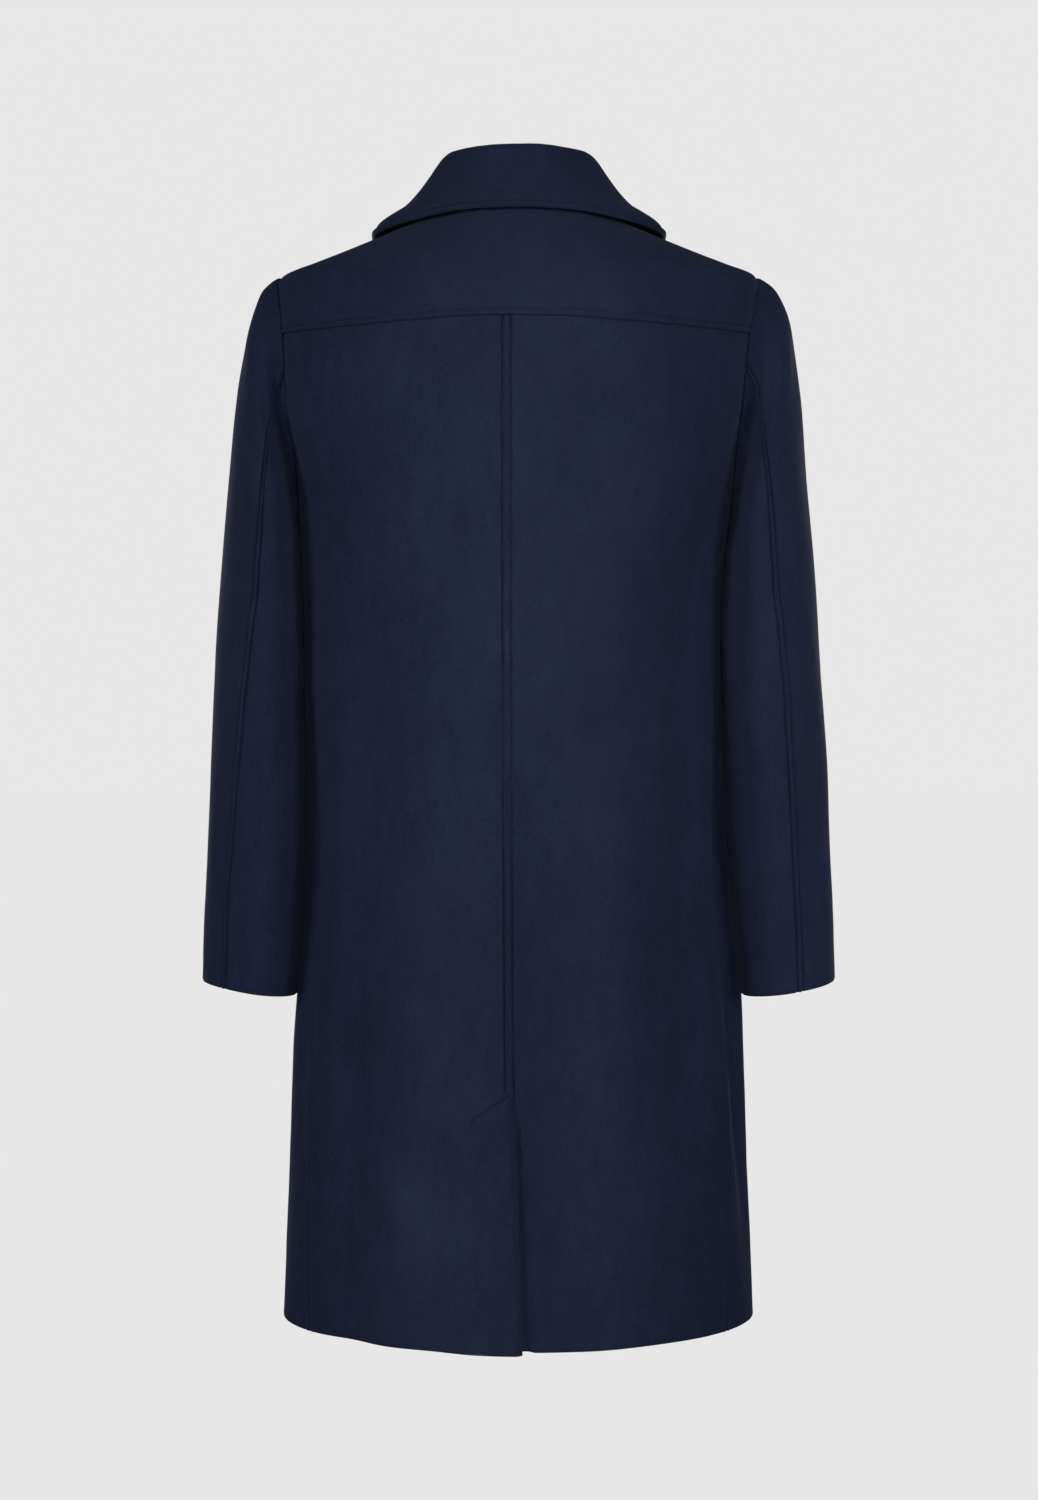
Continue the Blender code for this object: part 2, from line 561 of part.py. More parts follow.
def make_sleeve(side, material, collection):
    """A sleeve's top and under pieces, joined by a back seam and a front seam."""
    hand = "left" if side > 0 else "right"
    surface = sleeve_surface(side)
    ring = np.array(SLEEVE_STATIONS, float)
    seam_deg = LEFT_BACK_SEAM_DEG if side > 0 else RIGHT_BACK_SEAM_DEG
    knots = np.linspace(0, ring[-1], len(seam_deg))
    back_seam = np.radians(monotone(knots, seam_deg)(ring))
    front_seam = np.full_like(ring, math.radians(FRONT_SEAM_DEG))
    beside = surface(back_seam + 1e-3, ring) - surface(back_seam - 1e-3, ring)
    gap = SLEEVE_SEAM / 2 / (np.linalg.norm(beside, axis=-1) / 2e-3)
    pieces = (
        ("top_sleeve_", front_seam - 2 * math.pi + gap, back_seam - gap, TOP_SLEEVE_COLUMNS),
        ("under_sleeve_", back_seam + gap, front_seam - gap, UNDER_SLEEVE_COLUMNS),
    )
    for prefix, start, stop, columns in pieces:
        turn = even(start, stop, columns)
        rings = np.repeat(ring[:, None], columns + 1, axis=1)
        outer = surface(turn, rings)
        normal = facing(surface, turn, np.clip(rings, 2e-3, ring[-1] - 2e-3)) * side
        wall(prefix + hand, outer, outer - normal * CLOTH, material, collection)


def collar_section(share):
    """Points of the collar's section at a station, stand first, for the wearer's left half."""
    row = {name: float(curve(share)) for name, curve in COLLAR_AT.items()}
    angle, z = neck(math.radians(row["neck_deg"]))
    lift = float(front_lift(angle, z)) if row["neck_deg"] > 90 else 0.0
    foot = Vector(body(angle, z) + body_facing(angle, z) * lift) + Vector((0, 0, COLLAR_SEAT))
    inward = NECK_AXIS - foot
    inward.z = 0
    inward.normalize()
    edge_z = rest_on_body(row["edge_x"], row["edge_y"])
    edge_angle = angle_at(row["edge_x"], row["edge_y"], edge_z)
    rest = COLLAR_EDGE_LIFT + (float(front_lift(edge_angle, edge_z)) if row["edge_y"] < 0 else 0.0)
    edge = Vector(body(edge_angle, edge_z) + body_facing(edge_angle, edge_z) * rest)
    up = Vector((0, 0, 1))
    points = [foot + inward * (s.inset * row["inset"]) + up * (s.rise * row["rise"]) for s in COLLAR_STAND]
    crest = points[-1]
    for fall in COLLAR_FALL:
        point = crest.lerp(edge, fall.out)
        height = fall.height + (1 - fall.out - fall.height) * row["straight"]
        point.z = edge.z + (crest.z - edge.z) * height
        points.append(point)
    return np.array(points)


def make_collar(material, collection):
    """The collar: a stand round the neck that rolls over into a wide fall, as one folded wall."""
    across = np.linspace(-1, 1, COLLAR_COLUMNS + 1)
    grid = np.stack([collar_section(abs(share)) for share in across], axis=1)
    grid[..., 0] *= np.where(across < 0, -1, 1)[None, :]
    along = np.gradient(grid, axis=1)
    down = np.gradient(grid, axis=0)
    normal = np.cross(along, down)
    normal /= np.linalg.norm(normal, axis=-1, keepdims=True)
    crest = len(COLLAR_STAND) - 1
    normal *= np.sign(normal[crest, COLLAR_COLUMNS // 2, 2])
    wall("collar", grid, grid - normal * COLLAR_CLOTH, material, collection)


def turned(name, profile, sides):
    """A turned object from a profile of radius and height that runs from its top to its foot."""
    bm = bmesh.new()
    verts = [bm.verts.new((radius, 0.0, height)) for radius, height in profile]
    for above, below in zip(verts, verts[1:]):
        bm.edges.new((above, below))
    mesh = bpy.data.meshes.new(name)
    bm.to_mesh(mesh)
    bm.free()
    made = bpy.data.objects.new(name, mesh)
    bpy.context.scene.collection.objects.link(made)
    screw = made.modifiers.new("turn", "SCREW")
    screw.steps = sides
    screw.render_steps = sides
    screw.use_merge_vertices = True
    screw.merge_threshold = 0.00005
    return made


def button_mesh(material):
    """A dished button with four thread holes, standing on the plane of its own back."""
    rim = BUTTON_RADIUS
    thick = BUTTON_THICK
    profile = [
        (0.0, thick * 0.55), (rim * 0.62, thick * 0.55), (rim * 0.74, thick * 0.95), (rim * 0.90, thick),
        (rim, thick * 0.62), (rim * 0.94, thick * 0.20), (rim * 0.70, 0.0), (0.0, 0.0),
    ]
    blank = turned("button_blank", profile, BUTTON_SIDES)
    bm = bmesh.new()
    for turn in range(4):
        angle = math.radians(45 + 90 * turn)
        place = Matrix.Translation((HOLE_PLACE * math.cos(angle), HOLE_PLACE * math.sin(angle), thick / 2))
        bmesh.ops.create_cone(
            bm, cap_ends=True, segments=HOLE_SIDES, radius1=HOLE_RADIUS, radius2=HOLE_RADIUS,
            depth=thick * 3, matrix=place,
        )
    holes_mesh = bpy.data.meshes.new("button_holes")
    bm.to_mesh(holes_mesh)
    bm.free()
    holes = bpy.data.objects.new("button_holes", holes_mesh)
    bpy.context.scene.collection.objects.link(holes)
    cut = blank.modifiers.new("thread holes", "BOOLEAN")
    cut.operation = "DIFFERENCE"
    cut.object = holes
    graph = bpy.context.evaluated_depsgraph_get()
    mesh = bpy.data.meshes.new_from_object(blank.evaluated_get(graph))
    mesh.name = "button"
    bpy.data.objects.remove(blank)
    bpy.data.objects.remove(holes)
    mesh.shade_smooth()
    mesh.set_sharp_from_angle(angle=math.radians(35))
    mesh.materials.clear()
    mesh.materials.append(material)
    return mesh


def make_buttons(material, collection):
    """The front buttons, down the centre line on the lapping left front."""
    mesh = button_mesh(material)
    for number, z in enumerate(BUTTON_HEIGHTS, start=1):
        normal = Vector(body_facing(math.pi, z))
        place = Vector(body(math.pi, z)) + normal * (LAP_LIFT + SEAM)
        button = bpy.data.objects.new(f"button_{number}", mesh)
        turn = normal.to_track_quat("Z", "Y").to_matrix().to_4x4()
        button.matrix_world = Matrix.Translation(place) @ turn
        collection.objects.link(button)


def finish(name, colour, roughness):
    """A Principled material."""
    material = bpy.data.materials.new(name)
    material.use_nodes = True
    shader = material.node_tree.nodes["Principled BSDF"]
    shader.inputs["Base Color"].default_value = colour
    shader.inputs["Roughness"].default_value = roughness
    shader.inputs["Metallic"].default_value = 0.0
    return material


def main():
    for old in list(bpy.data.objects):
        bpy.data.objects.remove(old)
    coat = bpy.data.collections.new("winter_coat")
    bpy.context.scene.collection.children.link(coat)
    wool = finish("navy_wool", WOOL_NAVY, 0.95)
    horn = finish("dark_button", BUTTON_NAVY, 0.40)
    make_yoke(wool, coat)
    for side in (1, -1):
        make_back(side, wool, coat)
        make_front(side, wool, coat)
        make_sleeve(side, wool, coat)
    make_collar(wool, coat)
    make_buttons(horn, coat)


main()
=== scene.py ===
"""Dresses the winter coat: wool shells with turned seams and soft folds, topstitching and buttons.

Metres, +Z up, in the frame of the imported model. The front faces -Y and the wearer's left is +X. The
origin is the middle of the neck opening, level with the neck ends of the shoulder seams.
"""

import logging
import math
from dataclasses import dataclass
from enum import Enum
from typing import NamedTuple, Sequence

import bpy
import numpy as np
from mathutils import Matrix, Vector


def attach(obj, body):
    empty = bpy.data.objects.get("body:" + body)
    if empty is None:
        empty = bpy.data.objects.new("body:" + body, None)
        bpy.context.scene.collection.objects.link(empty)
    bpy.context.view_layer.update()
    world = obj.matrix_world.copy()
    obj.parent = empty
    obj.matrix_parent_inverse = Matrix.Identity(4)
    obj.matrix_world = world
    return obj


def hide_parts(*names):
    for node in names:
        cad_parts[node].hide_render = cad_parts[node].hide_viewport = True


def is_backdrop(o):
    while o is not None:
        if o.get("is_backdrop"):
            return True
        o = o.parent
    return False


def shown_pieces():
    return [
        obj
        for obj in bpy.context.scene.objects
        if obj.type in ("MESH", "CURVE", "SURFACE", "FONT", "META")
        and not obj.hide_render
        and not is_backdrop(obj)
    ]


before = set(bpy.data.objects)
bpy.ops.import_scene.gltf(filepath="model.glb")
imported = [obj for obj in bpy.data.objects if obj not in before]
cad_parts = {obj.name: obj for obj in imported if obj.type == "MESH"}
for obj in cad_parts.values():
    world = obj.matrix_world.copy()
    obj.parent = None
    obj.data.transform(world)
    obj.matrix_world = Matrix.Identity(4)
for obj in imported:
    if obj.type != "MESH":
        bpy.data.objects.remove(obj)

Array = np.ndarray
Pair = tuple[float, float]
Colour = tuple[float, float, float]
Place = tuple[float, float, float]
Socket = bpy.types.NodeSocket
LOG = logging.getLogger("winter_coat")
BODY_NAME = "root"
WOOL_SLOT = "wool"
BUTTON_SLOT = "button"
CLOTH_THICK = 0.0025
BUTTON_HEIGHTS = (-0.125, -0.260, -0.395, -0.530)
# Step in radians, metres or rings over which the slope of a form is taken
SLOPE_STEP = 1e-3
# Share of the fine step within which two places count as one
SAME_PLACE = 0.25
# A light that fans out less than this is a strip
STRIP_FAN_DEG = 90.0


class Side(Enum):
    """A half of the coat; the value is the sign of x there."""

    LEFT = 1
    RIGHT = -1

    @property
    def word(self) -> str:
        """The side as it stands in a node's name."""
        return self.name.lower()


class Edge(Enum):
    """An edge of a piece that is laid out in rows and columns."""

    START = "first column"
    STOP = "last column"
    TOP = "first row"
    FOOT = "last row"


def ease(share: Array) -> Array:
    """A share from 0 to 1 with level ends."""
    share = np.clip(share, 0.0, 1.0)
    return share * share * (3.0 - 2.0 * share)


def bell(distance: Array, half: float) -> Array:
    """A soft hump of height 1 with the given half width."""
    return np.exp(-((distance / half) ** 2))


def unit(vectors: Array) -> Array:
    """Vectors scaled to length 1."""
    return vectors / np.maximum(np.linalg.norm(vectors, axis=-1, keepdims=True), 1e-12)


def apart(places: Array, gap: float) -> Array:
    """Places in order, without any that lies within the gap of the one before it."""
    ordered = np.unique(places)
    return ordered[np.diff(ordered, prepend=-np.inf) > gap]


def spread(length: float, coarse: float, fine: float, bands: Pair) -> Array:
    """Places along a length, closer together within a band at each end.

    Args:
        length: The whole length.
        coarse: Step in the middle.
        fine: Step within the bands.
        bands: Width of the band at the start and at the end; 0 for none.

    Returns:
        Shares of the length, from 0 to 1.
    """
    count = max(2, round((length - sum(bands)) / coarse))
    start = np.arange(0.0, bands[0], fine)
    middle = np.linspace(bands[0], length - bands[1], count + 1)
    stop = length - np.arange(0.0, bands[1], fine)[::-1]
    return apart(np.concatenate([start, middle, stop]), fine * SAME_PLACE) / length


def smoothed(values: Array, half: int) -> Array:
    """Running means of values in order, over so many neighbours on each side."""
    window = 2 * half + 1
    return np.convolve(np.pad(values, half, mode="edge"), np.ones(window) / window, mode="valid")


class Curve:
    """A smooth curve through knots that never overshoots them."""

    def __init__(self, knots: Sequence[float], values: Sequence[float]) -> None:
        """Fits the curve.

        Args:
            knots: Places of the knots, in any order.
            values: Values at the knots.
        """
        order = np.argsort(knots)
        self.x = np.array(knots, float)[order]
        self.y = np.array(values, float)[order]
        self.step = np.diff(self.x)
        slope = np.diff(self.y) / self.step
        same_way = slope[:-1] * slope[1:] > 0
        total = np.where(same_way, slope[:-1] + slope[1:], 1.0)
        self.tangent = np.zeros_like(self.y)
        self.tangent[1:-1] = np.where(same_way, 2 * slope[:-1] * slope[1:] / total, 0.0)
        self.tangent[0] = slope[0]
        self.tangent[-1] = slope[-1]

    def __call__(self, at: Array) -> Array:
        """Values of the curve at the given places, held level past its ends."""
        at = np.clip(np.asarray(at, float), self.x[0], self.x[-1])
        i = np.clip(np.searchsorted(self.x, at) - 1, 0, len(self.step) - 1)
        t = (at - self.x[i]) / self.step[i]
        rise = self.y[i] + t * t * (3 - 2 * t) * (self.y[i + 1] - self.y[i])
        lean = t * (1 - t) ** 2 * self.tangent[i] - t * t * (1 - t) * self.tangent[i + 1]
        return rise + self.step[i] * lean

    @classmethod
    def columns(cls, table: Sequence[NamedTuple], knots: Sequence[float]) -> dict[str, "Curve"]:
        """One curve for each column of a table.

        Args:
            table: Rows of one named-tuple type.
            knots: The place of each row.

        Returns:
            The curves by column name.
        """
        return {name: cls(knots, column) for name, column in zip(table[0]._fields, zip(*table))}


class Level(NamedTuple):
    """A section of the body: half widths, depths, and how square its oval is (2 is an ellipse)."""

    z: float
    left: float
    right: float
    back: float
    front: float
    square: float


class Fold(NamedTuple):
    """A long soft fold of the body, in degrees from centre back and heights."""

    top_deg: float
    foot_deg: float
    mid_z: float
    half_long: float
    half_deg: float
    rise: float


class Crease(NamedTuple):
    """A soft trough between two places of a piece's chart, with a ridge along each bank."""

    from_s: float
    from_t: float
    to_s: float
    to_t: float
    bow: float
    half_wide: float
    depth: float

    HEAD_SKEW = 0.8
    BANK_SHARE = 0.30
    BANK_PLACE = 2.0
    BANK_HALF = 0.9

    def scaled(self, across: float, along: float) -> "Crease":
        """The crease with its places across and along the chart turned into metres."""
        return self._replace(
            from_s=self.from_s * across, to_s=self.to_s * across,
            from_t=self.from_t * along, to_t=self.to_t * along,
        )

    def relief(self, s: Array, t: Array) -> Array:
        """How far the crease moves the cloth out.

        Args:
            s: Places across the chart, in metres.
            t: Places along the chart, in metres.

        Returns:
            Moves along the cloth's normals, in metres.
        """
        run_s, run_t = self.to_s - self.from_s, self.to_t - self.from_t
        long = math.hypot(run_s, run_t)
        along = ((s - self.from_s) * run_s + (t - self.from_t) * run_t) / long**2
        across = ((s - self.from_s) * run_t - (t - self.from_t) * run_s) / long
        inside = np.clip(along, 0.0, 1.0)
        across = (across - self.bow * 4 * inside * (1 - inside)) / self.half_wide
        fade = np.sin(math.pi * inside**self.HEAD_SKEW) ** 2
        banks = sum(bell(across - way * self.BANK_PLACE, self.BANK_HALF) for way in (1, -1))
        return self.depth * fade * (self.BANK_SHARE * banks - bell(across, 1.0))


class Unevenness:
    """The slight waviness of heavy cloth: seeded waves over a piece's chart, longer down the cloth."""

    DOWN_SHARE = 0.6

    def __init__(self, seed: int, lengths: Pair, height: float, count: int = 28) -> None:
        """Draws the waves.

        Args:
            seed: Seed of the draw.
            lengths: Shortest and longest wave.
            height: Root mean square height.
            count: Number of waves.
        """
        draw = np.random.default_rng(seed)
        turn = draw.uniform(0.0, 2 * math.pi, count)
        long = np.exp(draw.uniform(math.log(lengths[0]), math.log(lengths[1]), count))
        ways = np.stack([np.cos(turn), self.DOWN_SHARE * np.sin(turn)], axis=1)
        self.ways = ways * (2 * math.pi / long)[:, None]
        self.phases = draw.uniform(0.0, 2 * math.pi, count)
        weight = long / long.max()
        self.heights = height * weight / math.sqrt((weight**2).sum() / 2)

    def relief(self, s: Array, t: Array) -> Array:
        """Height of the waves at places of the chart."""
        total = np.zeros(np.broadcast(s, t).shape)
        for way, phase, height in zip(self.ways, self.phases, self.heights):
            total += height * np.sin(way[0] * s + way[1] * t + phase)
        return total


@dataclass
class BodyForm:
    """The body of the coat: a stack of squared ovals with long folds, open at the neck and the hem."""

    hem_z: float = -1.0380
    hem_rise: float = 0.0055
    hem_rise_from: float = -0.900
    neck_half: float = 0.0800
    neck_back: float = 0.0670
    neck_front: float = 0.0800
    shoulder_tip_z: float = -0.0630
    armhole_bottom_z: float = -0.2760
    armhole_back: float = 0.0520
    armhole_front: float = 0.0620
    chart_radius: float = 0.19
    ease_high: float = 0.012
    halvings: int = 40
    levels: tuple[Level, ...] = (
        Level(0.030, 0.058, 0.058, 0.052, 0.042, 2.05),
        Level(0.008, 0.070, 0.070, 0.065, 0.051, 2.05),
        Level(0.000, 0.080, 0.080, 0.070, 0.055, 2.10),
        Level(-0.013, 0.1020, 0.1020, 0.077, 0.060, 2.15),
        Level(-0.025, 0.1280, 0.1280, 0.084, 0.064, 2.20),
        Level(-0.036, 0.1545, 0.1545, 0.091, 0.067, 2.25),
        Level(-0.046, 0.1790, 0.1790, 0.096, 0.070, 2.30),
        Level(-0.055, 0.2020, 0.2020, 0.101, 0.073, 2.35),
        Level(-0.063, 0.2220, 0.2215, 0.105, 0.076, 2.38),
        Level(-0.070, 0.2262, 0.2240, 0.107, 0.079, 2.40),
        Level(-0.090, 0.2275, 0.2240, 0.113, 0.086, 2.45),
        Level(-0.117, 0.2270, 0.2210, 0.121, 0.097, 2.50),
        Level(-0.175, 0.2235, 0.2150, 0.131, 0.118, 2.50),
        Level(-0.235, 0.2125, 0.2050, 0.1345, 0.129, 2.45),
        Level(-0.276, 0.2060, 0.1980, 0.1345, 0.1325, 2.40),
        Level(-0.335, 0.2035, 0.1910, 0.1330, 0.1325, 2.35),
        Level(-0.400, 0.2015, 0.1890, 0.1310, 0.1310, 2.30),
        Level(-0.470, 0.2008, 0.1910, 0.1295, 0.1300, 2.25),
        Level(-0.545, 0.1993, 0.1935, 0.1295, 0.1300, 2.20),
        Level(-0.620, 0.2003, 0.1983, 0.1310, 0.1320, 2.15),
        Level(-0.690, 0.2048, 0.2045, 0.1335, 0.1345, 2.10),
        Level(-0.735, 0.2090, 0.2090, 0.1350, 0.1360, 2.10),
        Level(-0.850, 0.2140, 0.2135, 0.1385, 0.1390, 2.05),
        Level(-0.950, 0.2178, 0.2170, 0.1405, 0.1405, 2.05),
        Level(-1.039, 0.2208, 0.2195, 0.1415, 0.1415, 2.05),
        Level(-1.100, 0.2225, 0.2215, 0.1420, 0.1420, 2.05),
    )
    folds: tuple[Fold, ...] = (
        Fold(14, 17, -0.640, 0.400, 8.0, 0.0035),
        Fold(-21, -26, -0.580, 0.420, 9.0, 0.0035),
        Fold(3, 2, -0.600, 0.300, 6.5, -0.0040),
        Fold(44, 50, -0.780, 0.380, 9.0, -0.0045),
        Fold(-52, -47, -0.500, 0.330, 9.0, -0.0045),
        Fold(63, 60, -0.210, 0.130, 5.0, 0.0025),
        Fold(-34, -37, -0.900, 0.260, 8.0, -0.0030),
        Fold(33, 31, -0.980, 0.200, 7.0, 0.0030),
        Fold(133, 128, -0.800, 0.380, 10.0, -0.0045),
        Fold(-136, -130, -0.780, 0.360, 10.0, -0.0045),
        Fold(153, 150, -0.860, 0.330, 8.0, 0.0035),
        Fold(-157, -152, -0.840, 0.330, 8.0, 0.0035),
        Fold(25, 25, -0.700, 0.460, 6.5, 0.0042),
        Fold(41, 43, -0.800, 0.540, 8.5, -0.0080),
        Fold(-27, -28, -0.560, 0.360, 6.5, 0.0040),
        Fold(-49, -47, -0.660, 0.420, 8.5, -0.0082),
        Fold(-22, -20, -0.920, 0.240, 6.0, 0.0022),
        Fold(1, 2, -0.760, 0.260, 5.0, -0.0024),
        Fold(-57, -55, -0.215, 0.140, 8.0, 0.0045),
        Fold(57, 56, -0.215, 0.140, 7.0, 0.0028),
        Fold(70, 71, -0.660, 0.300, 9.0, -0.0100),
        Fold(-72, -72, -0.640, 0.280, 9.0, -0.0120),
        Fold(-77, -76, -0.830, 0.230, 8.0, -0.0090),
    )

    def __post_init__(self) -> None:
        """Fits a curve to each column of the sections."""
        self.at = Curve.columns(self.levels, [level.z for level in self.levels])
        self.armhole_mid_z = (self.shoulder_tip_z + self.armhole_bottom_z) / 2
        self.armhole_half = (self.shoulder_tip_z - self.armhole_bottom_z) / 2

    def width(self, x: Array, z: Array) -> Array:
        """Half width of the section on the side of x."""
        return np.where(np.asarray(x) >= 0, self.at["left"](z), self.at["right"](z))

    def depth(self, y: Array, z: Array) -> Array:
        """Depth of the section on the side of y, eased over the knots of the table."""
        z = np.asarray(z, float)
        levels = ((z + self.ease_high, 0.25), (z, 0.5), (z - self.ease_high, 0.25))
        back, front = (
            sum(self.at[way](level) * part for level, part in levels) for way in ("back", "front")
        )
        return np.where(np.asarray(y) >= 0, back, front)

    def fold_rise(self, angle: Array, z: Array) -> Array:
        """How far the long folds move the cloth out."""
        degrees = np.degrees(angle)
        total = np.zeros(np.broadcast(degrees, z).shape)
        for fold in self.folds:
            along = np.clip((z - fold.mid_z) / fold.half_long, -1, 1)
            middle = fold.top_deg + (fold.foot_deg - fold.top_deg) * (1 - along) / 2
            across = (degrees - middle + 180) % 360 - 180
            total += fold.rise * np.cos(along * math.pi / 2) ** 2 * bell(across, fold.half_deg)
        return total

    def surface(self, angle: Array, z: Array) -> Array:
        """The outer face.

        Args:
            angle: Radians from centre back, towards the wearer's left.
            z: Heights.

        Returns:
            Points with x, y and z on the last axis.
        """
        angle, z = np.broadcast_arrays(np.asarray(angle, float), np.asarray(z, float))
        sine, cosine = np.sin(angle), np.cos(angle)
        width, depth = self.width(sine, z), self.depth(cosine, z)
        power = self.at["square"](z)
        reach = (np.abs(sine) ** power + np.abs(cosine) ** power) ** (-1 / power)
        out = unit(np.stack([sine / width, cosine / depth], axis=-1))
        rise = self.fold_rise(angle, z)
        x = width * sine * reach + rise * out[..., 0]
        y = depth * cosine * reach + rise * out[..., 1]
        return np.stack([x, y, z], axis=-1)

    def normals(self, angle: Array, z: Array, step: float = SLOPE_STEP) -> Array:
        """Outward unit normals of the outer face."""
        angle, z = np.asarray(angle, float), np.asarray(z, float)
        around = self.surface(angle + step, z) - self.surface(angle - step, z)
        up = self.surface(angle, z + step) - self.surface(angle, z - step)
        return unit(np.cross(up, around))

    def angle_at_x(self, z: Array, x: Array, front: bool = False) -> Array:
        """The angle where the section at height z is x to the wearer's left, behind or in front."""
        share = x / self.width(x, z)
        power = self.at["square"](z)
        other = (1 - np.abs(share) ** power) ** (1 / power)
        return np.arctan2(share, -other if front else other)

    def angle_at_y(self, z: Array, y: Array) -> Array:
        """The angle from 0 to pi where the section at height z reaches y."""
        share = y / self.depth(y, z)
        power = self.at["square"](z)
        return np.arctan2((1 - np.abs(share) ** power) ** (1 / power), share)

    def rest_height(self, x: Array, y: Array) -> Array:
        """Height where the body passes through places of the plan, near the shoulders."""
        x, y = np.broadcast_arrays(np.asarray(x, float), np.asarray(y, float))
        high = np.full(x.shape, self.levels[0].z)
        low = np.full(x.shape, self.armhole_bottom_z)
        for _ in range(self.halvings):
            z = (high + low) / 2
            power = self.at["square"](z)
            inside = (np.abs(x) / self.width(x, z)) ** power + (np.abs(y) / self.depth(y, z)) ** power < 1
            low = np.where(inside, z, low)
            high = np.where(inside, high, z)
        return (high + low) / 2

    def angle_of_plan(self, x: Array, y: Array, z: Array) -> Array:
        """The angle of a place of the plan on the section at height z."""
        return np.arctan2(x / self.width(x, z), y / self.depth(y, z))

    def neck(self, turn: Array) -> tuple[Array, Array]:
        """Angle and height of the neck edge at a turn round the neck from centre back."""
        turn = np.asarray(turn, float)
        x = self.neck_half * np.sin(turn)
        y = np.where(np.cos(turn) >= 0, self.neck_back, self.neck_front) * np.cos(turn)
        z = self.rest_height(x, y)
        return self.angle_of_plan(x, y, z), z

    def armhole_angle(self, z: Array, reach: float) -> Array:
        """The angle of the armhole's edge at a height, behind (reach over 0) or in front."""
        share = np.clip((z - self.armhole_mid_z) / self.armhole_half, -1, 1)
        return self.angle_at_y(z, reach * np.sqrt(1 - share * share))

    def armhole_heights(self, top_z: float, shares: Array) -> Array:
        """Heights down the armhole at shares of the way from top_z to its foot."""
        start = math.acos((top_z - self.armhole_mid_z) / self.armhole_half)
        return self.armhole_mid_z + self.armhole_half * np.cos(start + (math.pi - start) * shares)

    def hem_shape(self, angle: Array, z: Array) -> Array:
        """Heights eased up a little towards the sides, near the hem."""
        near = ease((self.hem_rise_from - z) / (self.hem_rise_from - self.hem_z))
        return z + self.hem_rise * near * np.sin(angle) ** 2


@dataclass(frozen=True)
class EdgeFinish:
    """How an edge of a piece is turned down, and where its topstitching runs."""

    dip: float = 0.0012
    roll: float = 0.0024
    stitch: float = 0.0
    groove: float = 0.0008
    groove_half: float = 0.0013
    welt: float = 0.0005
    welt_wide: float = 0.0050
    under: float = 0.0
    under_rise: float = 0.30

    def relief(self, distance: Array) -> Array:
        """How far the finish moves the cloth out, at distances from the edge."""
        beyond = distance - self.under
        total = -self.dip * np.clip(1 - np.maximum(beyond, 0) / self.roll, 0, 1) ** 2
        total += self.under_rise * np.maximum(-beyond, 0)
        wide = self.stitch if self.stitch else self.welt_wide
        total += self.welt * np.sin(math.pi * np.clip(distance / wide, 0, 1)) ** 2
        if self.stitch:
            total -= self.groove * bell(distance - self.stitch, self.groove_half)
        return total


class Finish(Enum):
    """The edge finishes of the coat."""

    SEAM = EdgeFinish(dip=0.0026, roll=0.0024, welt=0.0)
    UNDER_SEAM = EdgeFinish(dip=0.0026, roll=0.0024, welt=0.0, under=0.0030)
    ARMHOLE = EdgeFinish(dip=0.0005, roll=0.0035, welt=0.0002)
    OPEN_SEAM = EdgeFinish(dip=0.0014, roll=0.0018, welt=0.0007, welt_wide=0.0056)
    TUCKED = EdgeFinish(dip=0.0026, roll=0.0030, welt=0.0, under=0.0030)
    LAPPED = EdgeFinish(dip=0.0006, roll=0.0010, stitch=0.0058, welt=0.0010, groove=0.0013)
    WELTED = EdgeFinish(dip=0.0036, roll=0.0026, stitch=0.0073, welt=0.0011, groove=0.0028)
    SLEEVE_WELT = EdgeFinish(dip=0.0034, roll=0.0026, stitch=0.0060, welt=0.0012, groove=0.0026)
    VENT = EdgeFinish(dip=0.0050, roll=0.0065, welt=0.0)
    TURNED = EdgeFinish(dip=0.0011, roll=0.0032, welt=0.0)
    COLLAR = EdgeFinish(
        dip=0.0022, roll=0.0028, stitch=0.0056, welt=0.0012, groove=0.0042, groove_half=0.0018
    )

    def relief(self, distance: Array) -> Array:
        """How far the finish moves the cloth out, at distances from the edge."""
        return self.value.relief(distance)


@dataclass
class Layout:
    """A cloth piece laid out in rows and columns on its form.

    Attributes:
        points: Outer face before any relief, [row, column, xyz].
        normals: Outward unit normals there.
        chart: Places across and along the piece in metres, two grids.
    """

    points: Array
    normals: Array
    chart: tuple[Array, Array]

    def distance(self, edge: Edge) -> Array:
        """Distance of each point from an edge, measured along the cloth."""
        axis = 1 if edge in (Edge.START, Edge.STOP) else 0
        step = np.linalg.norm(np.diff(self.points, axis=axis), axis=-1)
        start = np.zeros_like(np.take(step, [0], axis=axis))
        run = np.concatenate([start, np.cumsum(step, axis=axis)], axis=axis)
        if edge in (Edge.STOP, Edge.FOOT):
            run = np.take(run, [-1], axis=axis) - run
        return run

    def line(self, face: Array, edge: Edge, distance: float) -> tuple[Array, Array]:
        """A line on the finished face at a set distance from an edge.

        Args:
            face: Points of the finished face.
            edge: The edge that the line follows.
            distance: Its distance from that edge.

        Returns:
            Points of the line and the normals there.
        """
        run = self.distance(edge)
        grids = [face, self.normals]
        if edge in (Edge.TOP, Edge.FOOT):
            run = run.T
            grids = [grid.transpose(1, 0, 2) for grid in grids]
        if edge in (Edge.STOP, Edge.FOOT):
            run = run[:, ::-1]
            grids = [grid[:, ::-1] for grid in grids]
        found = [
            np.array([[np.interp(distance, way, row[:, k]) for k in range(3)] for way, row in zip(run, grid)])
            for grid in grids
        ]
        return found[0], unit(found[1])


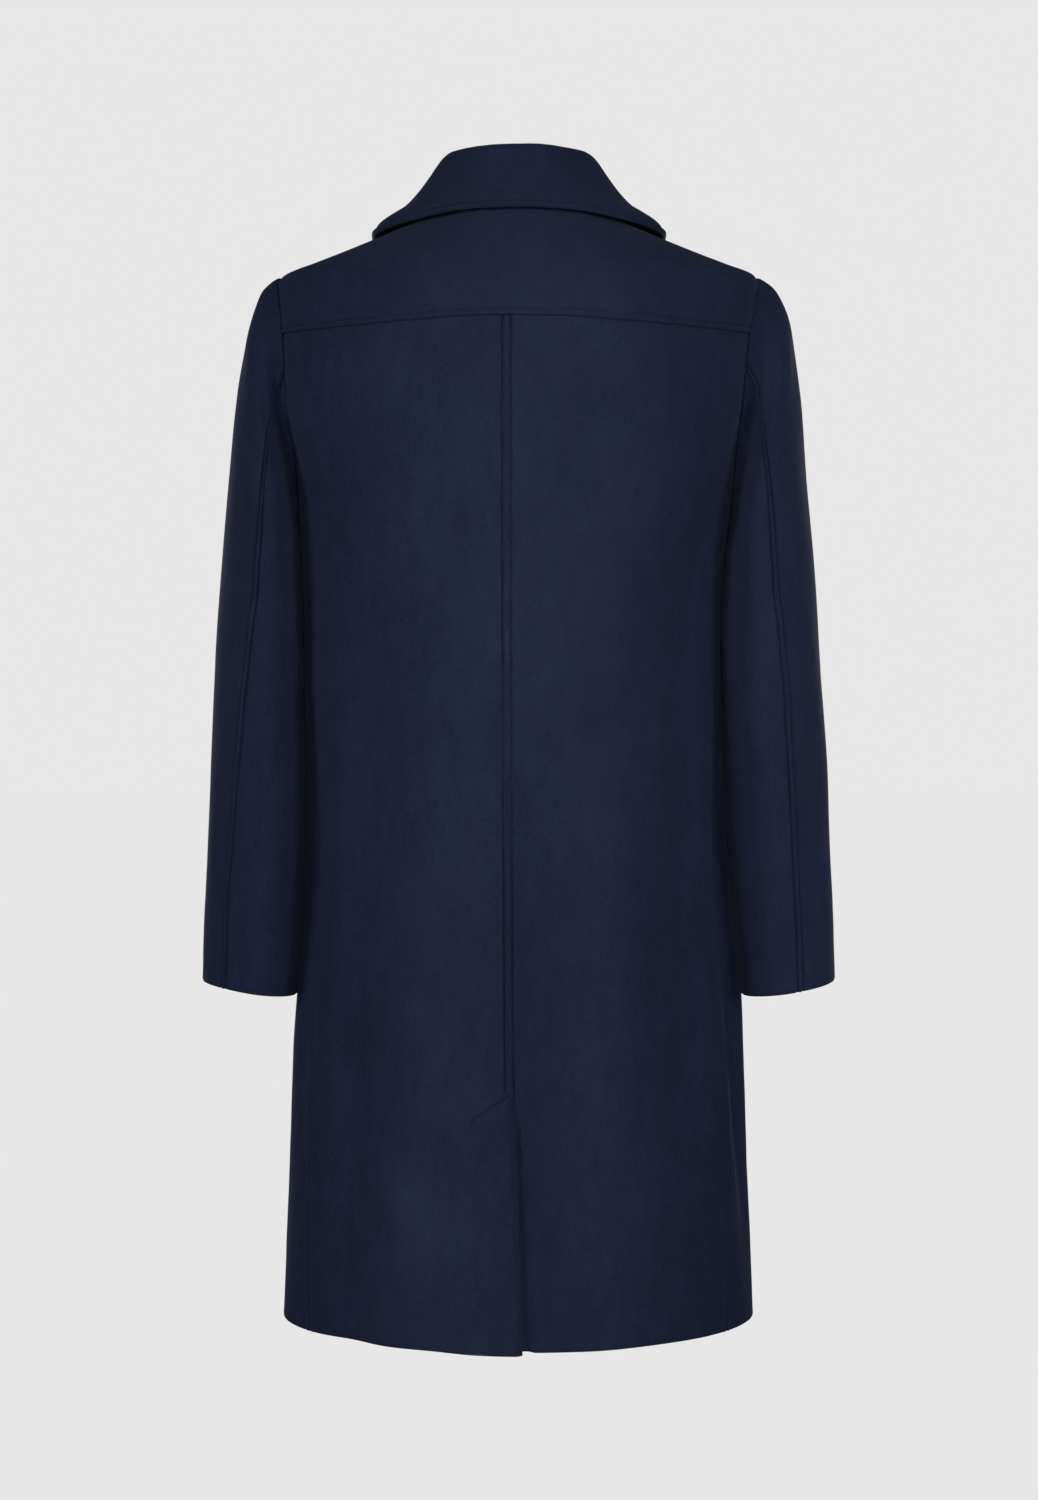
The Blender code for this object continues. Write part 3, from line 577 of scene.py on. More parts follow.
def set_inputs(node: bpy.types.Node, values: dict[str, object]) -> None:
    """Sets inputs of a node by name."""
    for name, value in values.items():
        node.inputs[name].default_value = value


class Noise(NamedTuple):
    """A noise over the cloth: cycles a metre, detail, and the share of those cycles that run down it."""

    scale: float
    detail: float
    down: float = 1.0


@dataclass(frozen=True)
class WoolFinish:
    """Heavy navy wool with a felted face: mottled colour, pale flecks and a short nap."""

    name: str = "navy_wool"
    deep: Colour = (0.0056, 0.0075, 0.0184)
    lit: Colour = (0.0120, 0.0163, 0.0394)
    fleck: Colour = (0.030, 0.036, 0.066)
    roughness: float = 0.95
    specular: float = 0.05
    sheen: float = 0.03
    sheen_roughness: float = 0.55
    sheen_tint: Colour = (0.55, 0.66, 1.0)
    mottle: Noise = Noise(16.0, 3.0, 0.60)
    streak: Noise = Noise(90.0, 3.0, 0.35)
    grain: Noise = Noise(430.0, 4.0)
    nap: Noise = Noise(1300.0, 2.0, 0.35)
    flecks: Noise = Noise(731.0, 2.0, 0.45)
    noise_roughness: float = 0.60
    streak_share: float = 0.55
    mottle_share: float = 0.50
    nap_share: float = 0.70
    tone_window: Pair = (0.625, 1.425)
    fleck_window: Pair = (0.66, 0.80)
    bump: float = 0.30
    bump_height: float = 0.0007

    def material(self) -> bpy.types.Material:
        """The wool as a node material."""
        made = bpy.data.materials.new(self.name)
        made.use_nodes = True
        nodes, links = made.node_tree.nodes, made.node_tree.links
        shader = nodes["Principled BSDF"]
        set_inputs(shader, {"Roughness": self.roughness, "Specular IOR Level": self.specular})
        set_inputs(shader, {"Sheen Weight": self.sheen, "Sheen Roughness": self.sheen_roughness})
        set_inputs(shader, {"Sheen Tint": (*self.sheen_tint, 1.0)})
        place = nodes.new("ShaderNodeTexCoord")

        def noise(kind: Noise) -> Socket:
            """The value of a noise over the cloth."""
            mapping = nodes.new("ShaderNodeMapping")
            set_inputs(mapping, {"Scale": (1.0, 1.0, kind.down)})
            texture = nodes.new("ShaderNodeTexNoise")
            set_inputs(texture, {"Scale": kind.scale, "Detail": kind.detail})
            set_inputs(texture, {"Roughness": self.noise_roughness})
            links.new(place.outputs["Object"], mapping.inputs["Vector"])
            links.new(mapping.outputs["Vector"], texture.inputs["Vector"])
            return texture.outputs["Fac"]

        def window(value: Socket, ends: Pair) -> Socket:
            """A value stretched so that the window's low end becomes 0 and its high end 1."""
            ranged = nodes.new("ShaderNodeMapRange")
            set_inputs(ranged, {"From Min": ends[0], "From Max": ends[1]})
            links.new(value, ranged.inputs["Value"])
            return ranged.outputs["Result"]

        def blend(share: Socket, first: Socket | Colour, second: Socket | Colour) -> Socket:
            """Two colours mixed by a share; each is a colour or a socket."""
            mix = nodes.new("ShaderNodeMix")
            mix.data_type = "RGBA"
            links.new(share, mix.inputs["Factor"])
            for socket, colour in ((mix.inputs["A"], first), (mix.inputs["B"], second)):
                if isinstance(colour, tuple):
                    socket.default_value = (*colour, 1.0)
                else:
                    links.new(colour, socket)
            return mix.outputs["Result"]

        def both(first: Socket, second: Socket, share: float) -> Socket:
            """The weighted sum of two values, share being the weight of the second."""
            scaled = nodes.new("ShaderNodeMath")
            scaled.operation = "MULTIPLY_ADD"
            scaled.inputs[1].default_value = share
            links.new(second, scaled.inputs[0])
            links.new(first, scaled.inputs[2])
            return scaled.outputs["Value"]

        grain = noise(self.grain)
        streaked = both(grain, noise(self.streak), self.streak_share)
        tone = window(both(streaked, noise(self.mottle), self.mottle_share), self.tone_window)
        flecks = window(noise(self.flecks), self.fleck_window)
        colour = blend(flecks, blend(tone, self.deep, self.lit), self.fleck)
        links.new(colour, shader.inputs["Base Color"])
        bump = nodes.new("ShaderNodeBump")
        set_inputs(bump, {"Strength": self.bump, "Distance": self.bump_height})
        links.new(both(grain, noise(self.nap), self.nap_share), bump.inputs["Height"])
        links.new(bump.outputs["Normal"], shader.inputs["Normal"])
        return made


@dataclass(frozen=True)
class TwoToneFinish:
    """A plain finish whose colour drifts between two tones."""

    name: str
    dark: Colour
    pale: Colour
    roughness: float
    specular: float
    drift_scale: float
    drift_detail: float = 3.0

    def material(self) -> bpy.types.Material:
        """The finish as a node material."""
        made = bpy.data.materials.new(self.name)
        made.use_nodes = True
        nodes, links = made.node_tree.nodes, made.node_tree.links
        shader = nodes["Principled BSDF"]
        set_inputs(shader, {"Roughness": self.roughness, "Specular IOR Level": self.specular})
        place = nodes.new("ShaderNodeTexCoord")
        texture = nodes.new("ShaderNodeTexNoise")
        set_inputs(texture, {"Scale": self.drift_scale, "Detail": self.drift_detail})
        mix = nodes.new("ShaderNodeMix")
        mix.data_type = "RGBA"
        set_inputs(mix, {"A": (*self.dark, 1.0), "B": (*self.pale, 1.0)})
        links.new(place.outputs["Object"], texture.inputs["Vector"])
        links.new(texture.outputs["Fac"], mix.inputs["Factor"])
        links.new(mix.outputs["Result"], shader.inputs["Base Color"])
        return made


@dataclass(frozen=True)
class ThreadFinish(TwoToneFinish):
    """Twisted sewing thread, a shade darker than the wool."""

    name: str = "navy_thread"
    dark: Colour = (0.0024, 0.0030, 0.0075)
    pale: Colour = (0.0046, 0.0058, 0.0135)
    roughness: float = 0.9
    specular: float = 0.1
    drift_scale: float = 2200.0


@dataclass(frozen=True)
class ButtonFinish(TwoToneFinish):
    """Dark satin button plastic with a faint cloudy grain."""

    name: str = "dark_button"
    dark: Colour = (0.0050, 0.0055, 0.0095)
    pale: Colour = (0.0150, 0.0155, 0.0230)
    roughness: float = 0.46
    specular: float = 0.22
    drift_scale: float = 120.0


@dataclass(frozen=True)
class FloorFinish(TwoToneFinish):
    """Matt pale studio floor."""

    name: str = "pale_floor"
    dark: Colour = (0.95, 0.95, 0.95)
    pale: Colour = (0.96, 0.96, 0.96)
    roughness: float = 1.0
    specular: float = 0.0
    drift_scale: float = 3.0


@dataclass
class Finishes:
    """The materials that the pieces share."""

    wool: bpy.types.Material
    thread: bpy.types.Material
    button: bpy.types.Material

    @classmethod
    def made(cls) -> "Finishes":
        """All the finishes of the coat."""
        return cls(WoolFinish().material(), ThreadFinish().material(), ButtonFinish().material())


def mesh_object(
    name: str, points: Array, faces: Sequence[Sequence[int]], material: bpy.types.Material
) -> bpy.types.Object:
    """A smooth mesh object in the scene.

    Args:
        name: Name of the object and its mesh.
        points: Vertices, one row each.
        faces: Rings of vertex numbers.
        material: Its one material.

    Returns:
        The object, linked to the scene.
    """
    mesh = bpy.data.meshes.new(name)
    mesh.from_pydata(points.tolist(), [], faces)
    mesh.shade_smooth()
    mesh.materials.append(material)
    made = bpy.data.objects.new(name, mesh)
    bpy.context.scene.collection.objects.link(made)
    return made


def shell(
    name: str, outer: Array, inner: Array, normals: Array, material: bpy.types.Material
) -> bpy.types.Object:
    """A closed cloth shell between two grids of points.

    Args:
        name: Name of the object.
        outer: Points of the outer face, [row, column, xyz].
        inner: Points of the inner face.
        normals: Outward normals, to turn the faces the right way.
        material: The cloth.

    Returns:
        The shell as an object.
    """
    rows, columns = outer.shape[:2]
    index = np.arange(rows * columns).reshape(rows, columns)
    ring = [index[:-1, :-1], index[:-1, 1:], index[1:, 1:], index[1:, :-1]]
    quads = np.stack(ring, axis=-1).reshape(-1, 4)
    loop = np.concatenate([index[0, :-1], index[:-1, -1], index[-1, :0:-1], index[:0:-1, 0]])
    follow = np.roll(loop, -1)
    below = rows * columns
    rim = np.stack([follow, loop, loop + below, follow + below], axis=1)
    faces = np.concatenate([quads, quads[:, ::-1] + below, rim])
    middle = (slice(rows // 2, rows // 2 + 2), slice(columns // 2, columns // 2 + 2))
    patch = outer[middle]
    facing = np.cross(patch[0, 1] - patch[0, 0], patch[1, 0] - patch[0, 0])
    if float(facing @ normals[rows // 2, columns // 2]) < 0:
        faces = faces[:, ::-1]
    points = np.concatenate([outer.reshape(-1, 3), inner.reshape(-1, 3)])
    return mesh_object(name, points, faces.tolist(), material)


@dataclass
class Stitching:
    """Rows of sewing thread on one piece: short bars that dive into the cloth at both ends."""

    material: bpy.types.Material
    pitch: float = 0.0036
    fill: float = 0.80
    radius: float = 0.00034
    sides: int = 6
    stations: tuple[float, ...] = (-0.5, -0.36, 0.0, 0.36, 0.5)
    swells: tuple[float, ...] = (0.40, 0.90, 1.00, 0.90, 0.40)
    lifts: tuple[float, ...] = (-0.70, 0.15, 0.45, 0.15, -0.70)

    def __post_init__(self) -> None:
        """Starts with no thread."""
        self.points: list[Array] = []
        self.faces: list[list[int]] = []

    def bars(self, centres: Array, along: Array, normals: Array, long: float, radius: float) -> None:
        """Adds bars of thread.

        Args:
            centres: Middle of each bar, on the cloth.
            along: Unit direction of each bar.
            normals: Normal of the cloth at each bar.
            long: Length of a bar.
            radius: Radius of the thread.
        """
        aside = unit(np.cross(along, normals))
        turn = np.arange(self.sides) * 2 * math.pi / self.sides
        shapes = (self.stations, self.swells, self.lifts)
        station, swell, lift = (np.array(row)[None, :, None, None] for row in shapes)
        ring = aside[:, None, None, :] * np.cos(turn)[None, None, :, None]
        ring = ring + normals[:, None, None, :] * np.sin(turn)[None, None, :, None]
        spine = along[:, None, None, :] * (station * long) + normals[:, None, None, :] * (lift * radius)
        points = centres[:, None, None, :] + spine + ring * (swell * radius)
        rings, sides = len(self.stations), self.sides
        pattern = []
        for j in range(rings - 1):
            for k in range(sides):
                here, beside = j * sides + k, j * sides + (k + 1) % sides
                pattern.append([here, beside, beside + sides, here + sides])
        pattern.append(list(range(sides))[::-1])
        pattern.append([(rings - 1) * sides + k for k in range(sides)])
        first = sum(len(block) for block in self.points)
        for number in range(len(centres)):
            base = first + number * rings * sides
            self.faces += [[base + v for v in face] for face in pattern]
        self.points.append(points.reshape(-1, 3))

    def run(self, path: Array, normals: Array) -> None:
        """Adds a row of stitches along a path on the cloth.

        Args:
            path: Points of the path, in order.
            normals: Normals of the cloth there.
        """
        length = np.concatenate([[0.0], np.cumsum(np.linalg.norm(np.diff(path, axis=0), axis=1))])
        count = max(1, int(length[-1] / self.pitch))
        middle = (np.arange(count) + 0.5) * length[-1] / count

        def at(grid: Array, where: Array) -> Array:
            """Rows of a grid at lengths along the path."""
            return np.stack([np.interp(where, length, grid[:, k]) for k in range(3)], axis=1)

        half = self.pitch * self.fill / 2
        along = unit(at(path, middle + half) - at(path, middle - half))
        self.bars(at(path, middle), along, unit(at(normals, middle)), 2 * half, self.radius)

    def build(self, name: str, carrier: bpy.types.Object, slot: str = WOOL_SLOT) -> list[bpy.types.Object]:
        """The thread as one object that rides with its piece.

        Args:
            name: Name of the object.
            carrier: The piece that it is sewn to.
            slot: Not used.

        Returns:
            The object in a list, which is empty where there is no thread.
        """
        if not self.points:
            return []
        made = mesh_object(name, np.concatenate(self.points), self.faces, self.material)
        made.parent = carrier
        return [made]


class Cut(NamedTuple):
    """The flat cut of a piece: its longest runs across and along, and its area."""

    across: float
    along: float
    area: float


@dataclass
class ClothPiece:
    """A cut piece of wool: a closed shell on its form, with its edges, folds and stitching.

    Attributes:
        body: The body's form.
        finishes: The materials.
    """

    body: BodyForm
    finishes: Finishes
    cloth: float = CLOTH_THICK
    edge_thin: float = 0.0006
    edge_thin_wide: float = 0.0025
    hem_turn: float = 0.0400
    hem_extra: float = 0.0018
    hem_step: float = 0.0035
    hem_edge: float = 0.0030
    hem_band: float = 0.0080
    coarse: float = 0.0046
    fine: float = 0.0006
    slack: float = 0.0010
    wave_seed: int = 11
    wave_lengths: Pair = (0.045, 0.150)
    wave_height: float = 0.00028
    cockle_lengths: Pair = (0.014, 0.030)
    cockle_height: float = 0.00004
    creases: tuple[Crease, ...] = ()

    node = ""
    cut = Cut(0.0, 0.0, 0.0)
    hangs_from: tuple[str, ...] = ()
    folded_foot = False

    def draw_waves(self, seed: int) -> None:
        """Draws the waviness of the piece's cloth."""
        self.waves = Unevenness(seed, self.wave_lengths, self.wave_height)
        self.cockle = Unevenness(seed + 1, self.cockle_lengths, self.cockle_height)

    def waviness(self, layout: Layout) -> Array:
        """Relief of the cloth's waviness."""
        return self.waves.relief(*layout.chart) + self.cockle.relief(*layout.chart)

    def creased(self, layout: Layout, degree: float, along: float) -> Array:
        """Relief of the waviness and the piece's creases.

        Args:
            layout: The piece on its form.
            degree: Metres across the chart for a degree.
            along: Metres along the chart for a step of the creases.

        Returns:
            Moves along the cloth's normals.
        """
        total = self.waviness(layout)
        for crease in self.creases:
            total += crease.scaled(degree, along).relief(*layout.chart)
        return total

    def layout(self) -> Layout:
        """The piece on its form, without relief."""
        raise NotImplementedError

    def edge_relief(self, layout: Layout) -> Array:
        """Relief of the turned and sewn edges."""
        raise NotImplementedError

    def soft_relief(self, layout: Layout) -> Array:
        """Relief of creases and unevenness, which moves both faces of the cloth."""
        raise NotImplementedError

    def sew(self, layout: Layout, face: Array, thread: Stitching) -> None:
        """Adds the piece's stitching; a plain piece has none."""

    def thickness(self, layout: Layout) -> Array:
        """Thickness of the cloth, thinner at its edges and thicker where the foot is turned up inside."""
        thick = np.full(layout.points.shape[:2], self.cloth)
        near = np.minimum.reduce([layout.distance(edge) for edge in Edge])
        thick -= self.edge_thin * np.clip(1 - near / self.edge_thin_wide, 0, 1) ** 2
        if self.folded_foot:
            up = layout.distance(Edge.FOOT)
            thick += self.hem_extra * ease((self.hem_turn - up) / self.hem_step) * ease(up / self.hem_edge)
        return thick

    def build(self) -> bpy.types.Object:
        """Returns:
            The shell's object.
        """
        layout = self.layout()
        soft = self.soft_relief(layout)
        edge = self.edge_relief(layout)
        outer = layout.points + layout.normals * (soft + edge)[..., None]
        under = soft + np.minimum(edge + self.slack, 0.0) - self.thickness(layout)
        inner = layout.points + layout.normals * under[..., None]
        made = shell(f"wool_{self.node}", outer, inner, layout.normals, self.finishes.wool)
        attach(made, BODY_NAME)
        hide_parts(self.node)
        thread = Stitching(self.finishes.thread)
        self.sew(layout, outer, thread)
        threads = thread.build(f"thread_{self.node}", made)
        across = float(layout.distance(Edge.STOP)[:, 0].max())
        along = float(layout.distance(Edge.FOOT)[0].max())
        LOG.info("%s: %d faces, %.3f x %.3f m", made.name, len(made.data.polygons), across, along)
        return made


class SeamPlace(NamedTuple):
    """A place on a seam: how far along it, and where the seam runs there."""

    along: float
    runs_at: float


@dataclass
class BodyPiece(ClothPiece):
    """A piece that lies on the body's form.

    Attributes:
        yoke_seam: Degrees from centre back, and heights.
        side_seam: Heights, and places from back to front.
        creases: Creases placed by degrees from centre back and by height.
    """

    lap_lift: float = 0.0036
    front_lap: float = 0.0350
    front_fade: float = 0.0300
    armhole_fade: float = 0.0120
    yoke_seam: tuple[SeamPlace, ...] = (
        SeamPlace(0.0, -0.1147), SeamPlace(11.0, -0.1154), SeamPlace(20.0, -0.1175),
        SeamPlace(29.0, -0.1197), SeamPlace(39.0, -0.1214), SeamPlace(48.0, -0.1222),
        SeamPlace(57.0, -0.1221), SeamPlace(66.0, -0.1204),
    )
    side_seam: tuple[SeamPlace, ...] = (
        SeamPlace(-0.276, 0.000), SeamPlace(-0.400, 0.014),
        SeamPlace(-0.735, 0.052), SeamPlace(-1.060, 0.074),
    )
    creases: tuple[Crease, ...] = (
        Crease(-64, -0.250, -34, -0.420, 0.010, 0.0150, 0.0024),
        Crease(61, -0.262, 38, -0.400, -0.008, 0.0140, 0.0014),
        Crease(9, -0.690, 8, -0.850, 0.000, 0.0120, 0.0060),
        Crease(-8, -0.700, -14, -0.930, 0.006, 0.0170, 0.0010),
        Crease(52, -0.860, 46, -1.030, 0.004, 0.0160, 0.0014),
        Crease(-66, -0.760, -58, -0.980, -0.005, 0.0150, 0.0013),
        Crease(28, -0.150, 33, -0.330, 0.004, 0.0200, 0.0010),
        Crease(-30, -0.140, -38, -0.290, -0.004, 0.0190, 0.0009),
        Crease(117, -0.262, 142, -0.420, 0.010, 0.0150, 0.0022),
        Crease(-118, -0.258, -144, -0.400, -0.009, 0.0150, 0.0020),
        Crease(168, -0.262, 128, -0.330, 0.007, 0.0110, 0.0010),
        Crease(170, -0.396, 140, -0.430, -0.006, 0.0110, 0.0009),
        Crease(-169, -0.530, -138, -0.600, 0.006, 0.0120, 0.0010),
        Crease(163, -0.560, 158, -0.860, 0.005, 0.0160, 0.0014),
        Crease(-166, -0.640, -160, -0.930, -0.006, 0.0160, 0.0013),
        Crease(100, -0.420, 112, -0.700, 0.008, 0.0160, 0.0016),
        Crease(-101, -0.440, -110, -0.690, -0.008, 0.0160, 0.0015),
    )

    def __post_init__(self) -> None:
        """Fits the seams and draws the cloth's waviness."""
        self.yoke_seam_at = Curve(*zip(*self.yoke_seam))
        self.yoke_end_z = self.yoke_seam[-1].runs_at
        self.side_at = Curve(*zip(*self.side_seam))
        self.draw_waves(self.wave_seed)

    def seam_height(self, angle: Array) -> Array:
        """Height of the yoke seam at an angle from centre back."""
        return self.yoke_seam_at(np.abs(np.degrees(angle)))

    def on_body(self, angle: Array, z: Array, lift: Array) -> Layout:
        """A layout on the body.

        Args:
            angle: Angles of the grid's points.
            z: Their heights.
            lift: How far the cloth stands off the form.

        Returns:
            The layout, charted by angle and height.
        """
        normals = self.body.normals(angle, z)
        points = self.body.surface(angle, z) + normals * lift[..., None]
        turned = (np.degrees(angle) + 180) % 360 - 180
        return Layout(points, normals, (np.radians(turned) * self.body.chart_radius, z))

    def soft_relief(self, layout: Layout) -> Array:
        """Creases and waviness of the body, the same for every piece that lies there."""
        return self.creased(layout, math.radians(1.0) * self.body.chart_radius, 1.0)

    def lapped(self, angle: Array, z: Array) -> Array:
        """Share of the lap of the fronts at places of the body: 1 on the lap, 0 well beside it."""
        x = self.body.surface(angle, z)[..., 0]
        return 1 - ease((np.abs(x) - self.front_lap - 2 * CLOTH_THICK) / self.front_fade)

    def side_relief(self, layout: Layout) -> Array:
        """The side seam's open welt, which gives way to the softer armhole seam above it."""
        distance = layout.distance(Edge.STOP)
        upper = ease((layout.points[..., 2] - self.body.armhole_bottom_z) / self.armhole_fade)
        return Finish.ARMHOLE.relief(distance) * upper + Finish.OPEN_SEAM.relief(distance) * (1 - upper)

    def side_angle(self, z: Array) -> Array:
        """The angle of the side seam, or of the armhole above it, seen on the back's side."""
        body = self.body
        armhole = body.armhole_angle(z, body.armhole_back)
        return np.where(z > body.armhole_bottom_z, armhole, body.angle_at_y(z, self.side_at(z)))


@dataclass
class BackPiece(BodyPiece):
    """The left or right back, from the centre seam to the armhole and side seam, with half the vent.

    Attributes:
        centre_back: Heights, and places across the back.
        vent_line: Places across the back, and heights.
    """

    side: Side = Side.LEFT
    upper_long: float = 0.17
    lower_long: float = 0.75
    wide: float = 0.24
    top_band: float = 0.0120
    centre_band: float = 0.0125
    side_band: float = 0.0080
    sag: float = 2.0
    centre_foot: float = -0.2880
    vent_top_z: float = -0.8110
    vent_lap: float = 0.0380
    vent_slope: float = 0.0240
    vent_margin: float = 0.0080
    vent_fade_wide: float = 0.0350
    vent_fade_high: float = 0.0200
    vent_drop: float = 0.0025
    vent_drop_turn: float = 0.30
    vent_sink: float = 0.0085
    vent_sink_half: float = 0.0046
    vent_sink_shift: float = 0.0030
    vent_sink_fade: float = 0.050
    vent_groove: float = 0.0018
    vent_groove_half: float = 0.0014
    vent_step: float = 0.0024
    vent_step_wide: float = 0.0032
    vent_step_fade: float = 0.0700
    vent_step_past: float = 0.0040
    vent_step_side: float = 0.0120
    vent_seam_below: float = 0.0040
    vent_seam_fade: float = 0.0160
    head_margin: float = 0.0080
    head_wide: float = 0.0500
    head_start: float = 0.0040
    head_stop: float = 0.0030
    head_points: int = 60
    head_smooth: int = 4
    head_pitch: float = 0.0046
    head_radius: float = 0.00055
    centre_back: tuple[SeamPlace, ...] = (
        SeamPlace(-0.110, 0.0075), SeamPlace(-0.400, 0.0072), SeamPlace(-0.650, 0.0062),
        SeamPlace(-0.811, 0.0048), SeamPlace(-0.930, 0.0005), SeamPlace(-1.060, -0.0040),
    )
    vent_line: tuple[SeamPlace, ...] = (
        SeamPlace(0.0035, -0.8065), SeamPlace(0.0220, -0.8190),
        SeamPlace(0.0415, -0.8320), SeamPlace(0.0452, -0.8405),
    )

    folded_foot = True
    cuts = {Side.LEFT: Cut(0.275, 0.945, 0.217), Side.RIGHT: Cut(0.285, 0.950, 0.229)}

    def __post_init__(self) -> None:
        """Takes the side's node and cut, and fits the centre seam."""
        super().__post_init__()
        self.centre_at = Curve(*zip(*self.centre_back))
        self.node = f"back_{self.side.word}"
        self.cut = self.cuts[self.side]

    def lift(self, x: Array, z: Array) -> Array:
        """How far the left back is lifted over the vent's underlap."""
        beyond = x - self.centre_at(z) - self.vent_lap - self.vent_margin
        across = 1 - ease(beyond / self.vent_fade_wide)
        down = ease((self.vent_top_z + self.vent_fade_high - z) / self.vent_fade_high)
        return self.lap_lift * across * down

    def layout(self) -> Layout:
        """The back on the body, its top row along the yoke seam."""
        body, left = self.body, self.side is Side.LEFT
        upper = spread(self.upper_long, self.coarse, self.fine, (self.top_band, 0.0))
        lower = spread(self.lower_long, self.coarse, self.fine, (0.0, self.hem_band))[1:]
        share = spread(self.wide, self.coarse, self.fine, (self.centre_band, self.side_band))
        if left:
            head_low = self.vent_line[-1].runs_at - self.head_margin
            head_high = self.vent_line[0].runs_at + self.head_margin
            head_z = np.arange(head_low, head_high, 2 * self.fine)
            heads = (head_z - self.centre_foot) / (body.hem_z - self.centre_foot)
            lower = apart(np.concatenate([lower, heads]), self.fine * SAME_PLACE / self.lower_long)
            beside_head = np.arange(self.centre_band, self.head_wide, 2 * self.fine) / self.wide
            share = apart(np.concatenate([share, beside_head]), self.fine * SAME_PLACE / self.wide)
        share = share[None, :]
        arm = body.armhole_heights(self.yoke_end_z, upper)
        top = float(self.seam_height(np.zeros(1))[0])
        beside = top + (self.centre_foot - top) * upper
        centre_z = np.concatenate([beside, self.centre_foot + (body.hem_z - self.centre_foot) * lower])
        edge_z = np.concatenate([arm, body.armhole_bottom_z + (body.hem_z - body.armhole_bottom_z) * lower])
        centre = self.centre_at(centre_z)
        if left:
            start = body.angle_at_x(centre_z, centre)
        else:
            under = self.vent_lap * np.clip((self.vent_top_z - centre_z) / self.vent_slope, 0, 1)
            under = np.maximum(under, Finish.UNDER_SEAM.value.under)
            start = body.angle_at_x(centre_z, centre + under)
        stop = self.side.value * self.side_angle(edge_z)
        angle = start[:, None] + (stop - start)[:, None] * share
        level = centre_z[:, None] + (edge_z - centre_z)[:, None] * share**self.sag
        fade = np.concatenate([(1 - upper) ** 2, np.zeros_like(lower)])[:, None]
        level += (self.seam_height(angle[:1]) + Finish.TUCKED.value.under - level[:1]) * fade
        level = body.hem_shape(angle, level)
        lift = np.zeros_like(level)
        if left:
            down = ease((self.vent_top_z - level) / (self.vent_top_z - body.hem_z))
            level -= self.vent_drop * down * bell(angle, self.vent_drop_turn)
            lift = self.lift(body.surface(angle, level)[..., 0], level)
        return self.on_body(angle, level, lift)

    def edge_relief(self, layout: Layout) -> Array:
        """The yoke seam, centre seam with its welt, vent edge, side seam and hem."""
        z = layout.points[..., 2]
        above = ease((z - self.vent_top_z + self.vent_seam_below) / self.vent_seam_fade)
        centre = layout.distance(Edge.START)
        if self.side is Side.LEFT:
            total = Finish.WELTED.relief(centre) * above + Finish.VENT.relief(centre) * (1 - above)
            line = np.array(self.vent_line)
            x = layout.points[..., 0]
            below = np.interp(x, line[:, 0], line[:, 1]) - z
            across = ease((x - line[0, 0]) / self.head_start) * ease((line[-1, 0] - x) / self.head_stop)
            total -= self.vent_groove * bell(below, self.vent_groove_half) * across
            step = ease((below + self.vent_step_wide / 2) / self.vent_step_wide)
            wide = ease((line[-1, 0] + self.vent_step_past - x) / self.vent_step_side)
            total += self.vent_step * step * (1 - ease(below / self.vent_step_fade)) * wide
        else:
            total = Finish.UNDER_SEAM.relief(centre)
            below = ease((self.vent_top_z - z) / self.vent_sink_fade)
            beside = layout.points[..., 0] - self.centre_at(z) + self.vent_sink_shift
            total -= self.vent_sink * below * bell(beside, self.vent_sink_half)
        total += Finish.TUCKED.relief(layout.distance(Edge.TOP))
        return total + self.side_relief(layout) + Finish.TURNED.relief(layout.distance(Edge.FOOT))

    def sew(self, layout: Layout, face: Array, thread: Stitching) -> None:
        """Topstitching down the centre welt and across the head of the vent, on the left back."""
        if self.side is Side.RIGHT:
            return
        path, normals = layout.line(face, Edge.START, Finish.WELTED.value.stitch)
        keep = path[:, 2] > self.vent_line[0].runs_at
        thread.run(path[keep], normals[keep])
        line = np.array(self.vent_line)
        x = np.linspace(line[0, 0] + self.head_start, line[-1, 0], self.head_points)
        z = np.interp(x, line[:, 0], line[:, 1])
        flat = layout.points.reshape(-1, 3)
        outer = face.reshape(-1, 3)
        near = [int(np.argmin((flat[:, 0] - a) ** 2 + (flat[:, 2] - b) ** 2)) for a, b in zip(x, z)]
        path = np.stack([x, smoothed(outer[near, 1], self.head_smooth), z], axis=1)
        thread.pitch, thread.radius = self.head_pitch, self.head_radius
        thread.run(path, layout.normals.reshape(-1, 3)[near])


